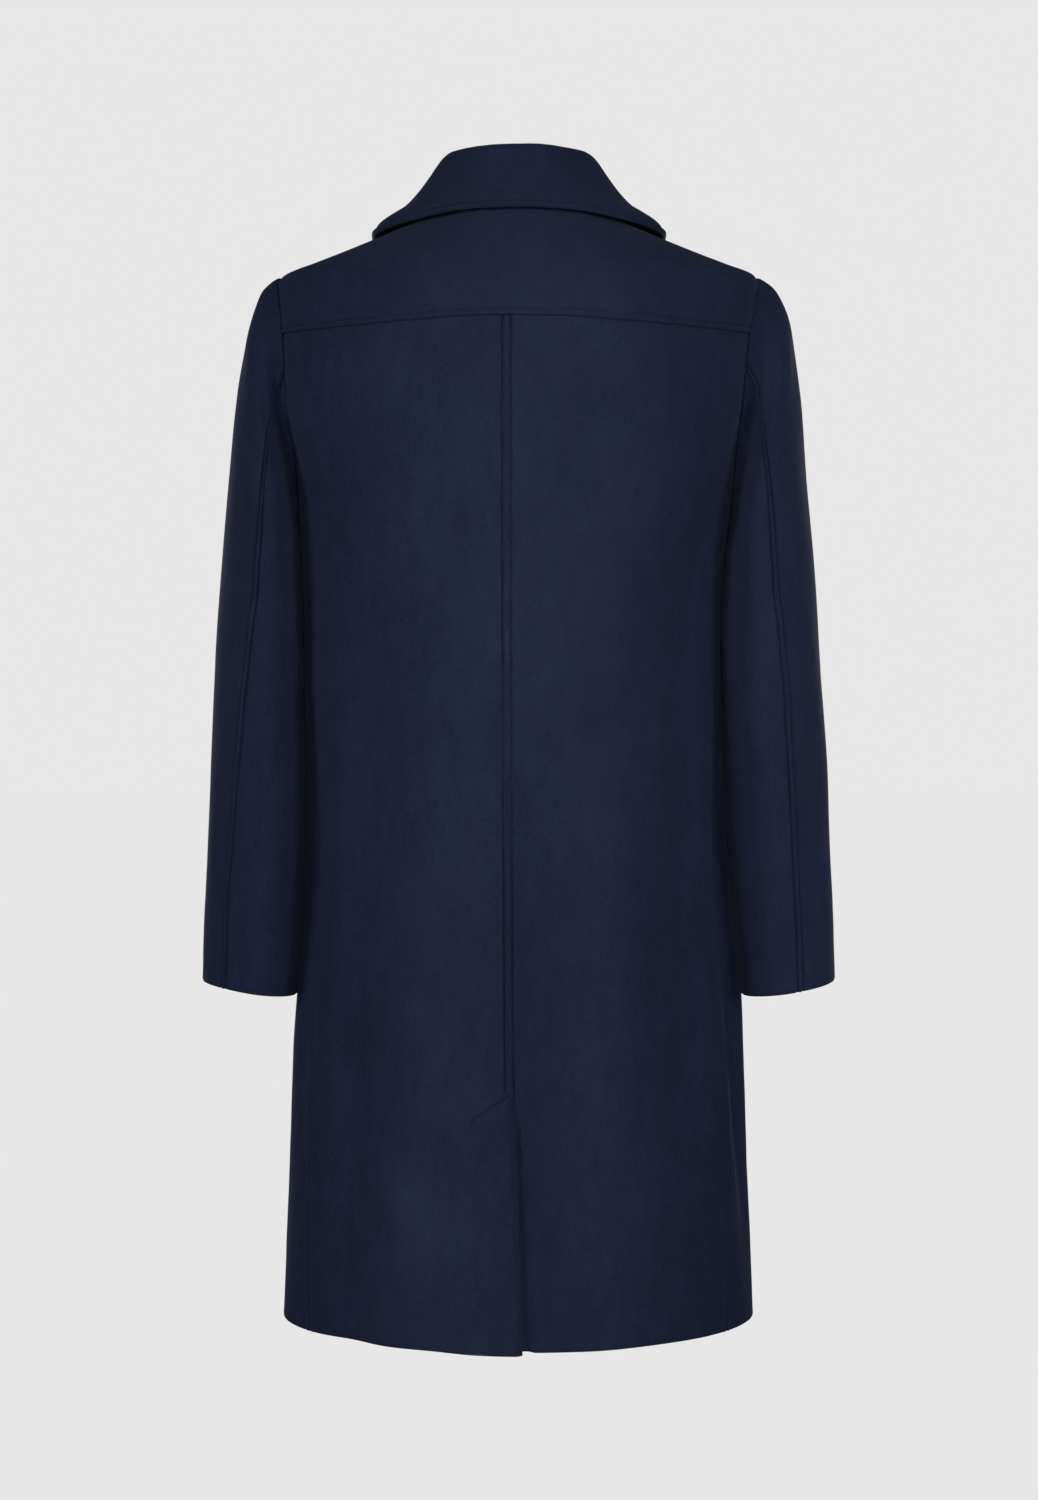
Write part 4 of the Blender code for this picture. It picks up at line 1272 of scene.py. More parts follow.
@dataclass
class YokePiece(BodyPiece):
    """The back yoke, from the seam across the back up over the shoulders to the neck."""

    tip_centre_z: float = -0.0450
    arm_long: float = 0.068
    arm_step: float = 0.0036
    seam_band: float = 0.0100
    shoulder_long: float = 0.16
    neck_band: float = 0.0050
    neck_fine: float = 0.0010
    wide: float = 0.52
    end_band: float = 0.0060
    lap: float = 0.0009
    lap_wide: float = 0.016

    node = "back_yoke"
    cut = Cut(0.515, 0.235, 0.070)

    def layout(self) -> Layout:
        """The yoke on the body, its first row along the yoke seam and its last round the neck."""
        body = self.body
        span = math.acos((self.yoke_end_z - body.armhole_mid_z) / body.armhole_half)
        rise = spread(self.arm_long, self.arm_step, self.fine, (self.seam_band, 0.0))
        arm = body.armhole_mid_z + body.armhole_half * np.cos(span * (1 - rise))
        towards_neck = spread(self.shoulder_long, self.coarse, self.neck_fine, (0.0, self.neck_band))[1:]
        shoulder = body.shoulder_tip_z * (1 - towards_neck)
        end_z = np.concatenate([arm, shoulder])
        end = np.concatenate([body.armhole_angle(arm, body.armhole_back), body.angle_at_y(shoulder, 0.0)])
        end[len(arm) - 1] = float(body.angle_at_y(arm[-1], 0.0))
        first = float(self.seam_height(np.zeros(1))[0])
        share = (end_z - self.yoke_end_z) / (body.shoulder_tip_z - self.yoke_end_z)
        top = np.clip(1 - end_z / body.shoulder_tip_z, 0, 1)
        lower = first + (self.tip_centre_z - first) * np.clip(share, 0, 1)
        centre_z = np.where(top > 0, self.tip_centre_z * (1 - top), lower)
        across = 2 * spread(self.wide, self.coarse, self.fine, (self.end_band, self.end_band))[None, :] - 1
        angle = end[:, None] * across
        level = centre_z[:, None] + (end_z - centre_z)[:, None] * across**2
        neck_angle, neck_z = body.neck(across[0] * end[-1])
        angle = angle + (neck_angle[None, :] - angle[-1:]) * top[:, None] ** 2
        level = level + (neck_z[None, :] - level[-1:]) * top[:, None]
        fade = np.concatenate([(1 - rise) ** 2, np.zeros_like(shoulder)])[:, None]
        level += (self.seam_height(angle[:1]) - level[:1]) * fade
        return self.on_body(angle, level, np.zeros_like(level))

    def edge_relief(self, layout: Layout) -> Array:
        """The lapped seam across the back, the armhole and shoulder seams and the neck."""
        up = layout.distance(Edge.TOP)
        total = Finish.LAPPED.relief(up) + self.lap * (1 - ease(up / self.lap_wide))
        for edge in (Edge.START, Edge.STOP, Edge.FOOT):
            total += Finish.ARMHOLE.relief(layout.distance(edge))
        return total

    def sew(self, layout: Layout, face: Array, thread: Stitching) -> None:
        """Topstitching above the seam."""
        thread.run(*layout.line(face, Edge.TOP, Finish.LAPPED.value.stitch))


class FrontRow(NamedTuple):
    """An upper row of a front: where it starts, and the height of its end at the armhole."""

    start: float
    end_z: float


@dataclass
class FrontPiece(BodyPiece):
    """The left or right front, from its lapping edge to the armhole and side seam.

    Attributes:
        neck_rows: Rows that start on the neck, at degrees round it from centre back.
        edge_rows: Rows that start on the front edge, at heights.
    """

    side: Side = Side.LEFT
    sink: float = 0.0008
    row_steps: int = 46
    corner_steps: int = 12
    lower_long: float = 0.76
    wide: float = 0.40
    edge_band: float = 0.0090
    side_band: float = 0.0080
    hole_smooth: int = 5
    hole_long: float = 0.0290
    hole_start: float = -0.0030
    hole_pitch: float = 0.0007
    hole_bar: float = 0.0026
    neck_rows: tuple[FrontRow, ...] = (
        FrontRow(90.0, -0.0630), FrontRow(106.0, -0.0665), FrontRow(124.0, -0.0760),
        FrontRow(144.0, -0.0960), FrontRow(160.0, -0.1180), FrontRow(174.0, -0.1360),
    )
    edge_rows: tuple[FrontRow, ...] = (
        FrontRow(-0.0755, -0.1600), FrontRow(-0.1150, -0.1930), FrontRow(-0.1600, -0.2280),
        FrontRow(-0.2050, -0.2560), FrontRow(-0.2500, -0.2720), FrontRow(-0.2800, -0.2760),
    )

    folded_foot = True
    cuts = {Side.LEFT: Cut(0.410, 1.160, 0.338), Side.RIGHT: Cut(0.410, 1.160, 0.333)}

    def __post_init__(self) -> None:
        """Takes the side's node and cut."""
        super().__post_init__()
        self.node = f"front_{self.side.word}"
        self.cut = self.cuts[self.side]

    def lap_off(self, angle: Array, z: Array) -> Array:
        """How far the front stands off the form where the fronts lap."""
        return self.lapped(angle, z) * (self.lap_lift if self.side is Side.LEFT else -self.sink)

    def ends(self) -> tuple[Array, Array, Array, Array]:
        """Angles and heights where the rows start and stop, top row first.

        Returns:
            Start angles, start heights, stop angles and stop heights, for the left front.
        """
        body = self.body
        corner = np.linspace(0, 1, self.corner_steps)[1:-1]

        def filled(rows: tuple[FrontRow, ...]) -> list[Array]:
            """Starts and ends of rows, with smooth steps put between them."""
            number = np.linspace(0, 1, len(rows))
            share = np.linspace(0, 1, self.row_steps)
            return [Curve(number, column)(share) for column in zip(*rows)]

        def joined(neck: Array, edge: Array) -> Array:
            """Values down the neck and then the edge, with even steps across the corner between them."""
            return np.concatenate([neck, neck[-1] + (edge[0] - neck[-1]) * corner, edge])

        neck_deg, neck_end = filled(self.neck_rows)
        neck_angle, neck_z = body.neck(np.radians(neck_deg))
        edge_z, edge_end = filled(self.edge_rows)
        edge = body.angle_at_x(edge_z, np.full_like(edge_z, -self.front_lap), front=True) + 2 * math.pi
        start, start_z = joined(neck_angle, edge), joined(neck_z, edge_z)
        end_z = joined(neck_end, edge_end)
        end = body.armhole_angle(end_z, -body.armhole_front)
        end[0] = float(body.angle_at_y(end_z[0], 0.0))
        start[0] = float(body.angle_at_y(start_z[0], 0.0))
        low = spread(self.lower_long, self.coarse, self.fine, (0.0, self.hem_band))[1:]
        low_start_z = edge_z[-1] + (body.hem_z - edge_z[-1]) * low
        low_end_z = end_z[-1] + (body.hem_z - end_z[-1]) * low
        low_start = body.angle_at_x(low_start_z, np.full_like(low, -self.front_lap), front=True) + 2 * math.pi
        low_end = body.angle_at_y(low_end_z, self.side_at(low_end_z))
        return (
            np.concatenate([start, low_start]),
            np.concatenate([start_z, low_start_z]),
            np.concatenate([end, low_end]),
            np.concatenate([end_z, low_end_z]),
        )

    def layout(self) -> Layout:
        """The front on the body; the right front mirrors the left's rows."""
        start, start_z, end, end_z = self.ends()
        if self.side is Side.RIGHT:
            below = start > math.pi
            edge_x = np.full_like(start_z, self.front_lap)
            turned = self.body.angle_at_x(start_z, edge_x, front=True) - 2 * math.pi
            start = np.where(below, np.maximum(-start, turned), -start)
            end = -end
        share = spread(self.wide, self.coarse, self.fine, (self.edge_band, self.side_band))[None, :]
        angle = start[:, None] + (end - start)[:, None] * share
        level = start_z[:, None] + (end_z - start_z)[:, None] * share
        level = self.body.hem_shape(angle, level)
        return self.on_body(angle, level, self.lap_off(angle, level))

    def edge_relief(self, layout: Layout) -> Array:
        """The turned front edge, shoulder, armhole and side seams and the hem."""
        total = Finish.TURNED.relief(layout.distance(Edge.START))
        total += Finish.SEAM.relief(layout.distance(Edge.TOP))
        return total + self.side_relief(layout) + Finish.TURNED.relief(layout.distance(Edge.FOOT))

    def sew(self, layout: Layout, face: Array, thread: Stitching) -> None:
        """Buttonholes worked on the left front, each running from just past its button's middle."""
        if self.side is Side.RIGHT:
            return
        outer = face.reshape(-1, 3)
        behind = outer[:, 1] >= 0
        x = self.hole_start + np.arange(0.0, self.hole_long, self.hole_pitch)
        for z in BUTTON_HEIGHTS:
            near = [int(np.argmin((outer[:, 0] - a) ** 2 + (outer[:, 2] - z) ** 2 + behind)) for a in x]
            depth = smoothed(outer[near, 1], self.hole_smooth)
            normals = layout.normals.reshape(-1, 3)[near]
            up = unit(np.array([0.0, 0.0, 1.0]) - normals * normals[:, 2:])
            middle = np.stack([x, depth, np.full_like(x, z)], axis=1)
            for way in (1, -1):
                thread.bars(middle + up * way * self.hole_bar / 2, up, normals, self.hole_bar, thread.radius)


class Ring(NamedTuple):
    """A ring of a sleeve: its outer and inner point seen from behind, and its reach back and front."""

    outer_x: float
    outer_z: float
    inner_x: float
    inner_z: float
    back: float
    front: float


class Swell(NamedTuple):
    """A swelling of the sleeve's cap: its height, and its middle and half width in rings."""

    rise: float
    ring: float
    half: float


@dataclass
class SleeveForm:
    """A sleeve: ovals strung from the armhole down to the cuff."""

    body: BodyForm
    side: Side
    inner_y: float = 0.0300
    outer_y: float = -0.0150
    square: float = 2.2
    blend: float = 3.0
    gap: float = 0.0001
    length_steps: int = 400
    length_degrees: tuple[float, ...] = (0.0, 60.0, 120.0, 180.0, 240.0, 300.0)
    cap: tuple[Swell, ...] = (Swell(0.0027, 0.15, 0.45), Swell(-0.0016, 1.20, 0.50))
    cap_turn: float = 0.9
    left: tuple[Ring, ...] = (
        Ring(0.2225, -0.0630, 0.2065, -0.2765, 0.066, 0.062),
        Ring(0.2388, -0.0688, 0.2080, -0.2830, 0.062, 0.067),
        Ring(0.2535, -0.1080, 0.2075, -0.2920, 0.068, 0.073),
        Ring(0.2645, -0.1720, 0.2062, -0.3060, 0.075, 0.078),
        Ring(0.2730, -0.2500, 0.2038, -0.3350, 0.080, 0.081),
        Ring(0.2802, -0.3400, 0.2013, -0.3850, 0.079, 0.083),
        Ring(0.2860, -0.4300, 0.2005, -0.4550, 0.073, 0.084),
        Ring(0.2905, -0.5200, 0.1990, -0.5350, 0.066, 0.083),
        Ring(0.2942, -0.6100, 0.1997, -0.6200, 0.058, 0.080),
        Ring(0.2970, -0.6800, 0.2045, -0.6900, 0.052, 0.076),
        Ring(0.2985, -0.7210, 0.2092, -0.7330, 0.050, 0.074),
    )
    right: tuple[Ring, ...] = (
        Ring(0.2220, -0.0630, 0.1985, -0.2765, 0.066, 0.062),
        Ring(0.2388, -0.0688, 0.2000, -0.2830, 0.066, 0.067),
        Ring(0.2543, -0.1030, 0.1992, -0.2920, 0.071, 0.073),
        Ring(0.2643, -0.1680, 0.1970, -0.3060, 0.076, 0.078),
        Ring(0.2710, -0.2500, 0.1928, -0.3350, 0.080, 0.081),
        Ring(0.2783, -0.3400, 0.1895, -0.3850, 0.079, 0.083),
        Ring(0.2848, -0.4300, 0.1906, -0.4550, 0.073, 0.084),
        Ring(0.2900, -0.5200, 0.1930, -0.5350, 0.066, 0.083),
        Ring(0.2943, -0.6100, 0.1984, -0.6200, 0.058, 0.080),
        Ring(0.2970, -0.6800, 0.2045, -0.6900, 0.052, 0.076),
        Ring(0.2981, -0.7210, 0.2092, -0.7330, 0.050, 0.074),
    )

    def __post_init__(self) -> None:
        """Fits a curve to each column of the rings."""
        table = self.left if self.side is Side.LEFT else self.right
        self.last = float(len(table) - 1)
        self.at = Curve.columns(table, range(len(table)))

    def oval(self, turn: Array, ring: Array) -> Array:
        """Points of the plain rings."""
        at = self.at
        cosine, sine = np.cos(turn), np.sin(turn)
        reach = (np.abs(cosine) ** self.square + np.abs(sine) ** self.square) ** (-1 / self.square)
        out = (1 + cosine * reach) / 2
        x = at["inner_x"](ring) + (at["outer_x"](ring) - at["inner_x"](ring)) * out
        z = at["inner_z"](ring) + (at["outer_z"](ring) - at["inner_z"](ring)) * out
        y = np.where(sine >= 0, at["back"](ring), at["front"](ring)) * sine * reach
        y = y + self.inner_y + (self.outer_y - self.inner_y) * out
        return np.stack([self.side.value * x, y, z], axis=-1)

    def armhole(self, turn: Array) -> Array:
        """Points of the armhole's edge, just outside the body."""
        body = self.body
        z = body.armhole_mid_z + body.armhole_half * np.cos(turn)
        y = np.where(np.sin(turn) >= 0, body.armhole_back, body.armhole_front) * np.sin(turn)
        edge = body.surface(self.side.value * body.angle_at_y(z, y), z)
        edge[..., 0] += self.side.value * self.gap
        return edge

    def surface(self, turn: Array, ring: Array) -> Array:
        """The outer face.

        Args:
            turn: Radians from the outer point, by way of the back.
            ring: Ring numbers from 0 at the armhole.

        Returns:
            Points with x, y and z on the last axis.
        """
        turn, ring = np.broadcast_arrays(np.asarray(turn, float), np.asarray(ring, float))
        keep = 1 - ease(ring / self.blend)
        shift = self.armhole(turn) - self.oval(turn, np.zeros_like(ring))
        return self.oval(turn, ring) + shift * keep[..., None]

    def normals(self, turn: Array, ring: Array, step: float = SLOPE_STEP) -> Array:
        """Outward unit normals of the outer face."""
        ring = np.clip(ring, 2 * step, self.last - 2 * step)
        around = self.surface(turn + step, ring) - self.surface(turn - step, ring)
        down = self.surface(turn, ring + step) - self.surface(turn, ring - step)
        return unit(np.cross(down, around)) * self.side.value

    def even_rings(self, shares: Array) -> Array:
        """Ring numbers at shares of the sleeve's mean length."""
        ring = np.linspace(0, self.last, self.length_steps)[:, None]
        turn = np.radians(self.length_degrees)[None, :]
        step = np.linalg.norm(np.diff(self.surface(turn, ring), axis=0), axis=-1).mean(axis=1)
        run = np.concatenate([[0.0], np.cumsum(step)])
        return np.interp(shares * run[-1], run, ring[:, 0])

    def cap_rise(self, turn: Array, ring: Array) -> Array:
        """How far the cap's cloth swells out near the armhole."""
        rise = sum(swell.rise * bell(ring - swell.ring, swell.half) for swell in self.cap)
        inside = np.clip(turn, -self.cap_turn, self.cap_turn)
        return rise * np.cos(inside * math.pi / (2 * self.cap_turn)) ** 2


class SleevePart(Enum):
    """The two pieces of a sleeve; the value is how their nodes' names begin."""

    TOP = "top_sleeve"
    UNDER = "under_sleeve"


@dataclass
class SleevePiece(ClothPiece):
    """A top or under sleeve, from the armhole to the cuff and between the back and front seams.

    Attributes:
        left_seam: The left sleeve's back seam: ring numbers, and degrees from the outer point.
        right_seam: The same for the right sleeve.
        creases: Creases placed by those degrees and ring numbers.
    """

    side: Side = Side.LEFT
    part: SleevePart = SleevePart.TOP
    wave_seed: int = 20
    wave_lengths: Pair = (0.040, 0.120)
    wave_height: float = 0.00036
    long: float = 0.64
    armhole_band: float = 0.0060
    top_wide: float = 0.22
    top_bands: Pair = (0.0060, 0.0120)
    under_wide: float = 0.17
    under_bands: Pair = (0.0110, 0.0060)
    stitch_from_row: int = 4
    front_seam_deg: float = 250.0
    left_seam: tuple[SeamPlace, ...] = (
        SeamPlace(0.0, 84.0), SeamPlace(0.5, 91.5), SeamPlace(1.0, 96.5), SeamPlace(1.6, 99.0),
        SeamPlace(2.5, 100.5), SeamPlace(4.0, 100.0), SeamPlace(5.0, 94.0), SeamPlace(6.2, 82.0),
        SeamPlace(7.3, 71.8), SeamPlace(8.4, 66.2), SeamPlace(10.0, 66.8),
    )
    right_seam: tuple[SeamPlace, ...] = (
        SeamPlace(0.0, 82.0), SeamPlace(1.1, 90.0), SeamPlace(1.7, 98.0), SeamPlace(2.5, 103.0),
        SeamPlace(4.0, 97.0), SeamPlace(5.3, 91.2), SeamPlace(6.2, 86.0), SeamPlace(7.3, 84.2),
        SeamPlace(8.4, 84.2), SeamPlace(10.0, 86.8),
    )
    lean: float = 0.0085
    lean_deg: float = 222.0
    lean_half_deg: float = 22.0
    lean_from_ring: float = 0.8
    lean_over_rings: float = 1.6
    tuck: float = 0.024
    tuck_from_deg: float = 95.0
    tuck_rise_deg: float = 80.0
    tuck_till_deg: float = 205.0
    tuck_fall_deg: float = 45.0
    tuck_from_ring: float = 3.0
    tuck_over_rings: float = 5.0
    chart_radius: float = 0.062
    chart_step: float = 0.070
    creases: tuple[Crease, ...] = (
        Crease(40, 1.3, 118, 2.7, 0.006, 0.0120, 0.0014),
        Crease(8, 2.0, 62, 3.4, 0.004, 0.0130, 0.0010),
        Crease(60, 4.6, 128, 5.6, 0.006, 0.0120, 0.0015),
        Crease(128, 6.0, 66, 6.9, 0.005, 0.0120, 0.0012),
        Crease(28, 6.6, 86, 7.9, -0.004, 0.0130, 0.0010),
        Crease(90, 8.0, 118, 9.6, 0.003, 0.0100, 0.0009),
        Crease(226, 4.7, 300, 5.5, 0.006, 0.0110, 0.0024),
        Crease(222, 5.7, 306, 6.2, 0.004, 0.0100, 0.0020),
        Crease(300, 6.4, 236, 7.3, 0.005, 0.0110, 0.0018),
        Crease(270, 2.0, 318, 3.6, 0.006, 0.0120, 0.0016),
        Crease(330, 4.0, 345, 6.4, 0.004, 0.0130, 0.0010),
    )

    folded_foot = True
    cuts = {SleevePart.TOP: Cut(0.330, 0.680, 0.138), SleevePart.UNDER: Cut(0.245, 0.590, 0.094)}

    def __post_init__(self) -> None:
        """Takes the piece's node and cut, and draws its waviness."""
        self.form = SleeveForm(self.body, self.side)
        self.node = f"{self.part.value}_{self.side.word}"
        self.hangs_from = ("wool_back_yoke", f"wool_back_{self.side.word}", f"wool_front_{self.side.word}")
        self.cut = self.cuts[self.part]
        self.draw_waves(self.wave_seed + 2 * self.side.value)

    def tucked(self, degrees: Array, rings: Array) -> Array:
        """Share of the tuck that draws the inner back of the sleeve forward towards the cuff."""
        starts = ease((degrees - self.tuck_from_deg) / self.tuck_rise_deg)
        stops = 1 - ease((degrees - self.tuck_till_deg) / self.tuck_fall_deg)
        return starts * stops * ease((rings - self.tuck_from_ring) / self.tuck_over_rings)

    def layout(self) -> Layout:
        """The piece on the sleeve's form."""
        form = self.form
        ends = (self.armhole_band, self.hem_band)
        ring = form.even_rings(spread(self.long, self.coarse, self.fine, ends))
        seam = self.left_seam if self.side is Side.LEFT else self.right_seam
        back = np.radians(Curve(*zip(*seam))(ring))
        front = np.full_like(ring, math.radians(self.front_seam_deg))
        beside = form.surface(back + SLOPE_STEP, ring) - form.surface(back - SLOPE_STEP, ring)
        under = Finish.UNDER_SEAM.value.under / (np.linalg.norm(beside, axis=-1) / (2 * SLOPE_STEP))
        if self.part is SleevePart.TOP:
            start, stop, wide, bands = front - 2 * math.pi, back, self.top_wide, self.top_bands
        else:
            start, stop, wide, bands = back - under, front, self.under_wide, self.under_bands
        share = spread(wide, self.coarse, self.fine, bands)[None, :]
        turn = start[:, None] + (stop - start)[:, None] * share
        rings = np.repeat(ring[:, None], share.shape[1], axis=1)
        normals = form.normals(turn, rings)
        degrees = np.degrees(turn) % 360
        lean = self.lean * bell(degrees - self.lean_deg, self.lean_half_deg)
        lean = lean * ease((rings - self.lean_from_ring) / self.lean_over_rings)
        points = form.surface(turn, rings) + normals * (form.cap_rise(turn, rings) + lean)[..., None]
        points[..., 1] -= self.tuck * self.tucked(degrees, rings)
        return Layout(points, normals, (np.radians(degrees) * self.chart_radius, rings * self.chart_step))

    def soft_relief(self, layout: Layout) -> Array:
        """The sleeve's creases and waviness, which fade out at the armhole."""
        total = self.creased(layout, math.radians(1.0) * self.chart_radius, self.chart_step)
        return total * ease(layout.chart[1] / self.chart_step)

    def edge_relief(self, layout: Layout) -> Array:
        """The armhole seam, back seam with its welt on the top sleeve, front seam and cuff."""
        total = Finish.ARMHOLE.relief(layout.distance(Edge.TOP))
        total += Finish.TURNED.relief(layout.distance(Edge.FOOT))
        if self.part is SleevePart.TOP:
            total += Finish.SLEEVE_WELT.relief(layout.distance(Edge.STOP))
            return total + Finish.OPEN_SEAM.relief(layout.distance(Edge.START))
        total += Finish.UNDER_SEAM.relief(layout.distance(Edge.START))
        return total + Finish.OPEN_SEAM.relief(layout.distance(Edge.STOP))

    def sew(self, layout: Layout, face: Array, thread: Stitching) -> None:
        """Topstitching beside the back seam, on the top sleeve."""
        if self.part is SleevePart.TOP:
            path, normals = layout.line(face, Edge.STOP, Finish.SLEEVE_WELT.value.stitch)
            thread.run(path[self.stitch_from_row:], normals[self.stitch_from_row:])


class Station(NamedTuple):
    """A station of the collar from centre back to its front end."""

    share: float
    neck_deg: float
    rise: float
    inset: float
    edge_x: float
    edge_y: float
    straight: float
    lift: float


class Section(NamedTuple):
    """A point of the section of the collar or of a button: shares outward and upward."""

    out: float
    up: float


@dataclass
class CollarPiece(BodyPiece):
    """The collar: a stand round the neck that rolls over into a wide fall."""

    cloth: float = 0.0036
    seat: float = 0.0010
    foot_drop: float = 0.0062
    foot_least: float = 0.0008
    foot_drop_from_deg: float = 85.0
    foot_drop_fade_deg: float = 40.0
    neck_axis_y: float = -0.0050
    front_from_deg: float = 90.0
    half_long: float = 0.33
    end_band: float = 0.0060
    section_steps: int = 14
    section_coarse: float = 0.0034
    section_fine: float = 0.0007
    foot_band: float = 0.0030
    edge_band: float = 0.0100
    chart_place: float = 2.0
    wave_share: float = 0.7
    stitch_ends: int = 3
    stations: tuple[Station, ...] = (
        Station(0.00, 0.0, 0.0470, 0.0100, 0.0000, 0.0790, 0.0, 0.0105),
        Station(0.05, 8.0, 0.0471, 0.0101, 0.0160, 0.0786, 0.0, 0.0105),
        Station(0.20, 32.0, 0.0486, 0.0120, 0.0640, 0.0708, 0.0, 0.0100),
        Station(0.38, 62.0, 0.0520, 0.0170, 0.1130, 0.0500, 0.0, 0.0082),
        Station(0.50, 84.0, 0.0550, 0.0190, 0.1355, 0.0120, 0.0, 0.0060),
        Station(0.60, 102.0, 0.0564, 0.0190, 0.1370, -0.0220, 0.2, 0.0050),
        Station(0.70, 122.0, 0.0540, 0.0160, 0.1290, -0.0500, 0.6, 0.0050),
        Station(0.80, 140.0, 0.0470, 0.0120, 0.1130, -0.0760, 1.0, 0.0050),
        Station(0.90, 158.0, 0.0390, 0.0080, 0.0940, -0.0950, 1.2, 0.0050),
        Station(1.00, 173.0, 0.0310, 0.0050, 0.0710, -0.1110, 1.2, 0.0050),
    )
    stand: tuple[Section, ...] = (
        Section(0.00, 0.00), Section(0.75, 0.30), Section(1.40, 0.62), Section(1.65, 0.88), Section(1.0, 1.0),
    )
    fall: tuple[Section, ...] = (
        Section(0.14, 0.925), Section(0.30, 0.70), Section(0.45, 0.50), Section(0.61, 0.335),
        Section(0.78, 0.225), Section(0.91, 0.135), Section(0.98, 0.045), Section(1.00, 0.00),
    )

    node = "collar"
    cut = Cut(0.780, 0.200, 0.095)

    def over_lap(self, angle: float, z: float) -> float:
        """How far the left front stands off the form at a place that the collar rests on."""
        return float(self.lap_lift * self.lapped(angle, z))

    def section(self, row: dict[str, float]) -> Array:
        """Points of the section at a station, stand first, for the wearer's left half.

        Args:
            row: The station's values by column name.

        Returns:
            Points, one row each.
        """
        body = self.body
        angle, z = (float(value) for value in body.neck(math.radians(row["neck_deg"])))
        lift = self.over_lap(angle, z) if row["neck_deg"] > self.front_from_deg else 0.0
        up = np.array([0.0, 0.0, 1.0])
        foot = body.surface(angle, z) + body.normals(angle, z) * lift + up * self.seat
        inward = unit(np.array([-foot[0], self.neck_axis_y - foot[1], 0.0]))
        edge_z = float(body.rest_height(row["edge_x"], row["edge_y"]))
        edge_angle = float(body.angle_of_plan(row["edge_x"], row["edge_y"], edge_z))
        rest = row["lift"] + (self.over_lap(edge_angle, edge_z) if row["edge_y"] < 0 else 0.0)
        edge = body.surface(edge_angle, edge_z) + body.normals(edge_angle, edge_z) * rest
        fade = float(ease((row["neck_deg"] - self.foot_drop_from_deg) / self.foot_drop_fade_deg))
        points = [foot - up * (self.foot_least + self.foot_drop * (1 - fade))]
        for part in self.stand:
            points.append(foot + inward * (part.out * row["inset"]) + up * (part.up * row["rise"]))
        crest = points[-1]
        for part in self.fall:
            point = crest + (edge - crest) * part.out
            height = part.up + (1 - part.out - part.up) * row["straight"]
            point[2] = edge[2] + (crest[2] - edge[2]) * height
            points.append(point)
        return np.array(points)

    def layout(self) -> Layout:
        """The collar from its foot at the neck over the crest to its outer edge."""
        at = Curve.columns(self.stations, [station.share for station in self.stations])
        half = spread(self.half_long, self.coarse, self.fine, (0.0, self.end_band))
        sections = [self.section({key: float(curve(share)) for key, curve in at.items()}) for share in half]
        rows = np.stack(sections, axis=1)
        mirror = rows[:, :0:-1] * np.array([-1.0, 1.0, 1.0])
        grid = smooth_rows(np.concatenate([mirror, rows], axis=1), self.section_steps)
        run = np.linalg.norm(np.diff(grid, axis=0), axis=-1).mean(axis=1)
        run = np.concatenate([[0.0], np.cumsum(run)])
        bands = (self.foot_band, self.edge_band)
        length = spread(run[-1], self.section_coarse, self.section_fine, bands) * run[-1]
        place = np.interp(length, run, np.arange(len(run)))
        low = np.clip(place.astype(int), 0, len(run) - 2)
        part = (place - low)[:, None, None]
        grid = grid[low] * (1 - part) + grid[low + 1] * part
        normals = unit(np.cross(np.gradient(grid, axis=1), np.gradient(grid, axis=0)))
        crest = int(np.argmax(grid[:, grid.shape[1] // 2, 2]))
        normals *= np.sign(normals[crest, grid.shape[1] // 2, 2])
        across = np.linspace(-1, 1, grid.shape[1])[None, :] * self.half_long
        along = np.interp(place, np.arange(len(run)), run)[:, None]
        return Layout(grid, normals, tuple(np.broadcast_arrays(across + self.chart_place, along)))

    def edge_relief(self, layout: Layout) -> Array:
        """The topstitched outer edge and ends and the neck seam."""
        total = Finish.COLLAR.relief(layout.distance(Edge.FOOT))
        for edge in (Edge.START, Edge.STOP):
            total += Finish.TURNED.relief(layout.distance(edge))
        return total + Finish.SEAM.relief(layout.distance(Edge.TOP))

    def soft_relief(self, layout: Layout) -> Array:
        """Waviness of the doubled cloth."""
        return self.wave_share * self.waviness(layout)

    def sew(self, layout: Layout, face: Array, thread: Stitching) -> None:
        """Topstitching along the outer edge."""
        path, normals = layout.line(face, Edge.FOOT, Finish.COLLAR.value.stitch)
        inside = slice(self.stitch_ends, -self.stitch_ends)
        thread.run(path[inside], normals[inside])


def smooth_rows(knots: Array, count: int) -> Array:
    """Rows of points put between the given rows along smooth curves through them.

    Args:
        knots: Rows of points, [row, column, xyz].
        count: Steps between two rows.

    Returns:
        The denser grid.
    """
    padded = np.concatenate([2 * knots[:1] - knots[1:2], knots, 2 * knots[-1:] - knots[-2:-1]])
    t = (np.arange(count) / count)[:, None, None]
    parts = []
    for i in range(1, len(padded) - 2):
        before, here, there, after = padded[i - 1:i + 3]
        square = (2 * before - 5 * here + 4 * there - after) * t**2
        cube = (3 * here - before - 3 * there + after) * t**3
        parts.append(0.5 * (2 * here + (there - before) * t + square + cube))
    return np.concatenate(parts + [knots[-1:]])


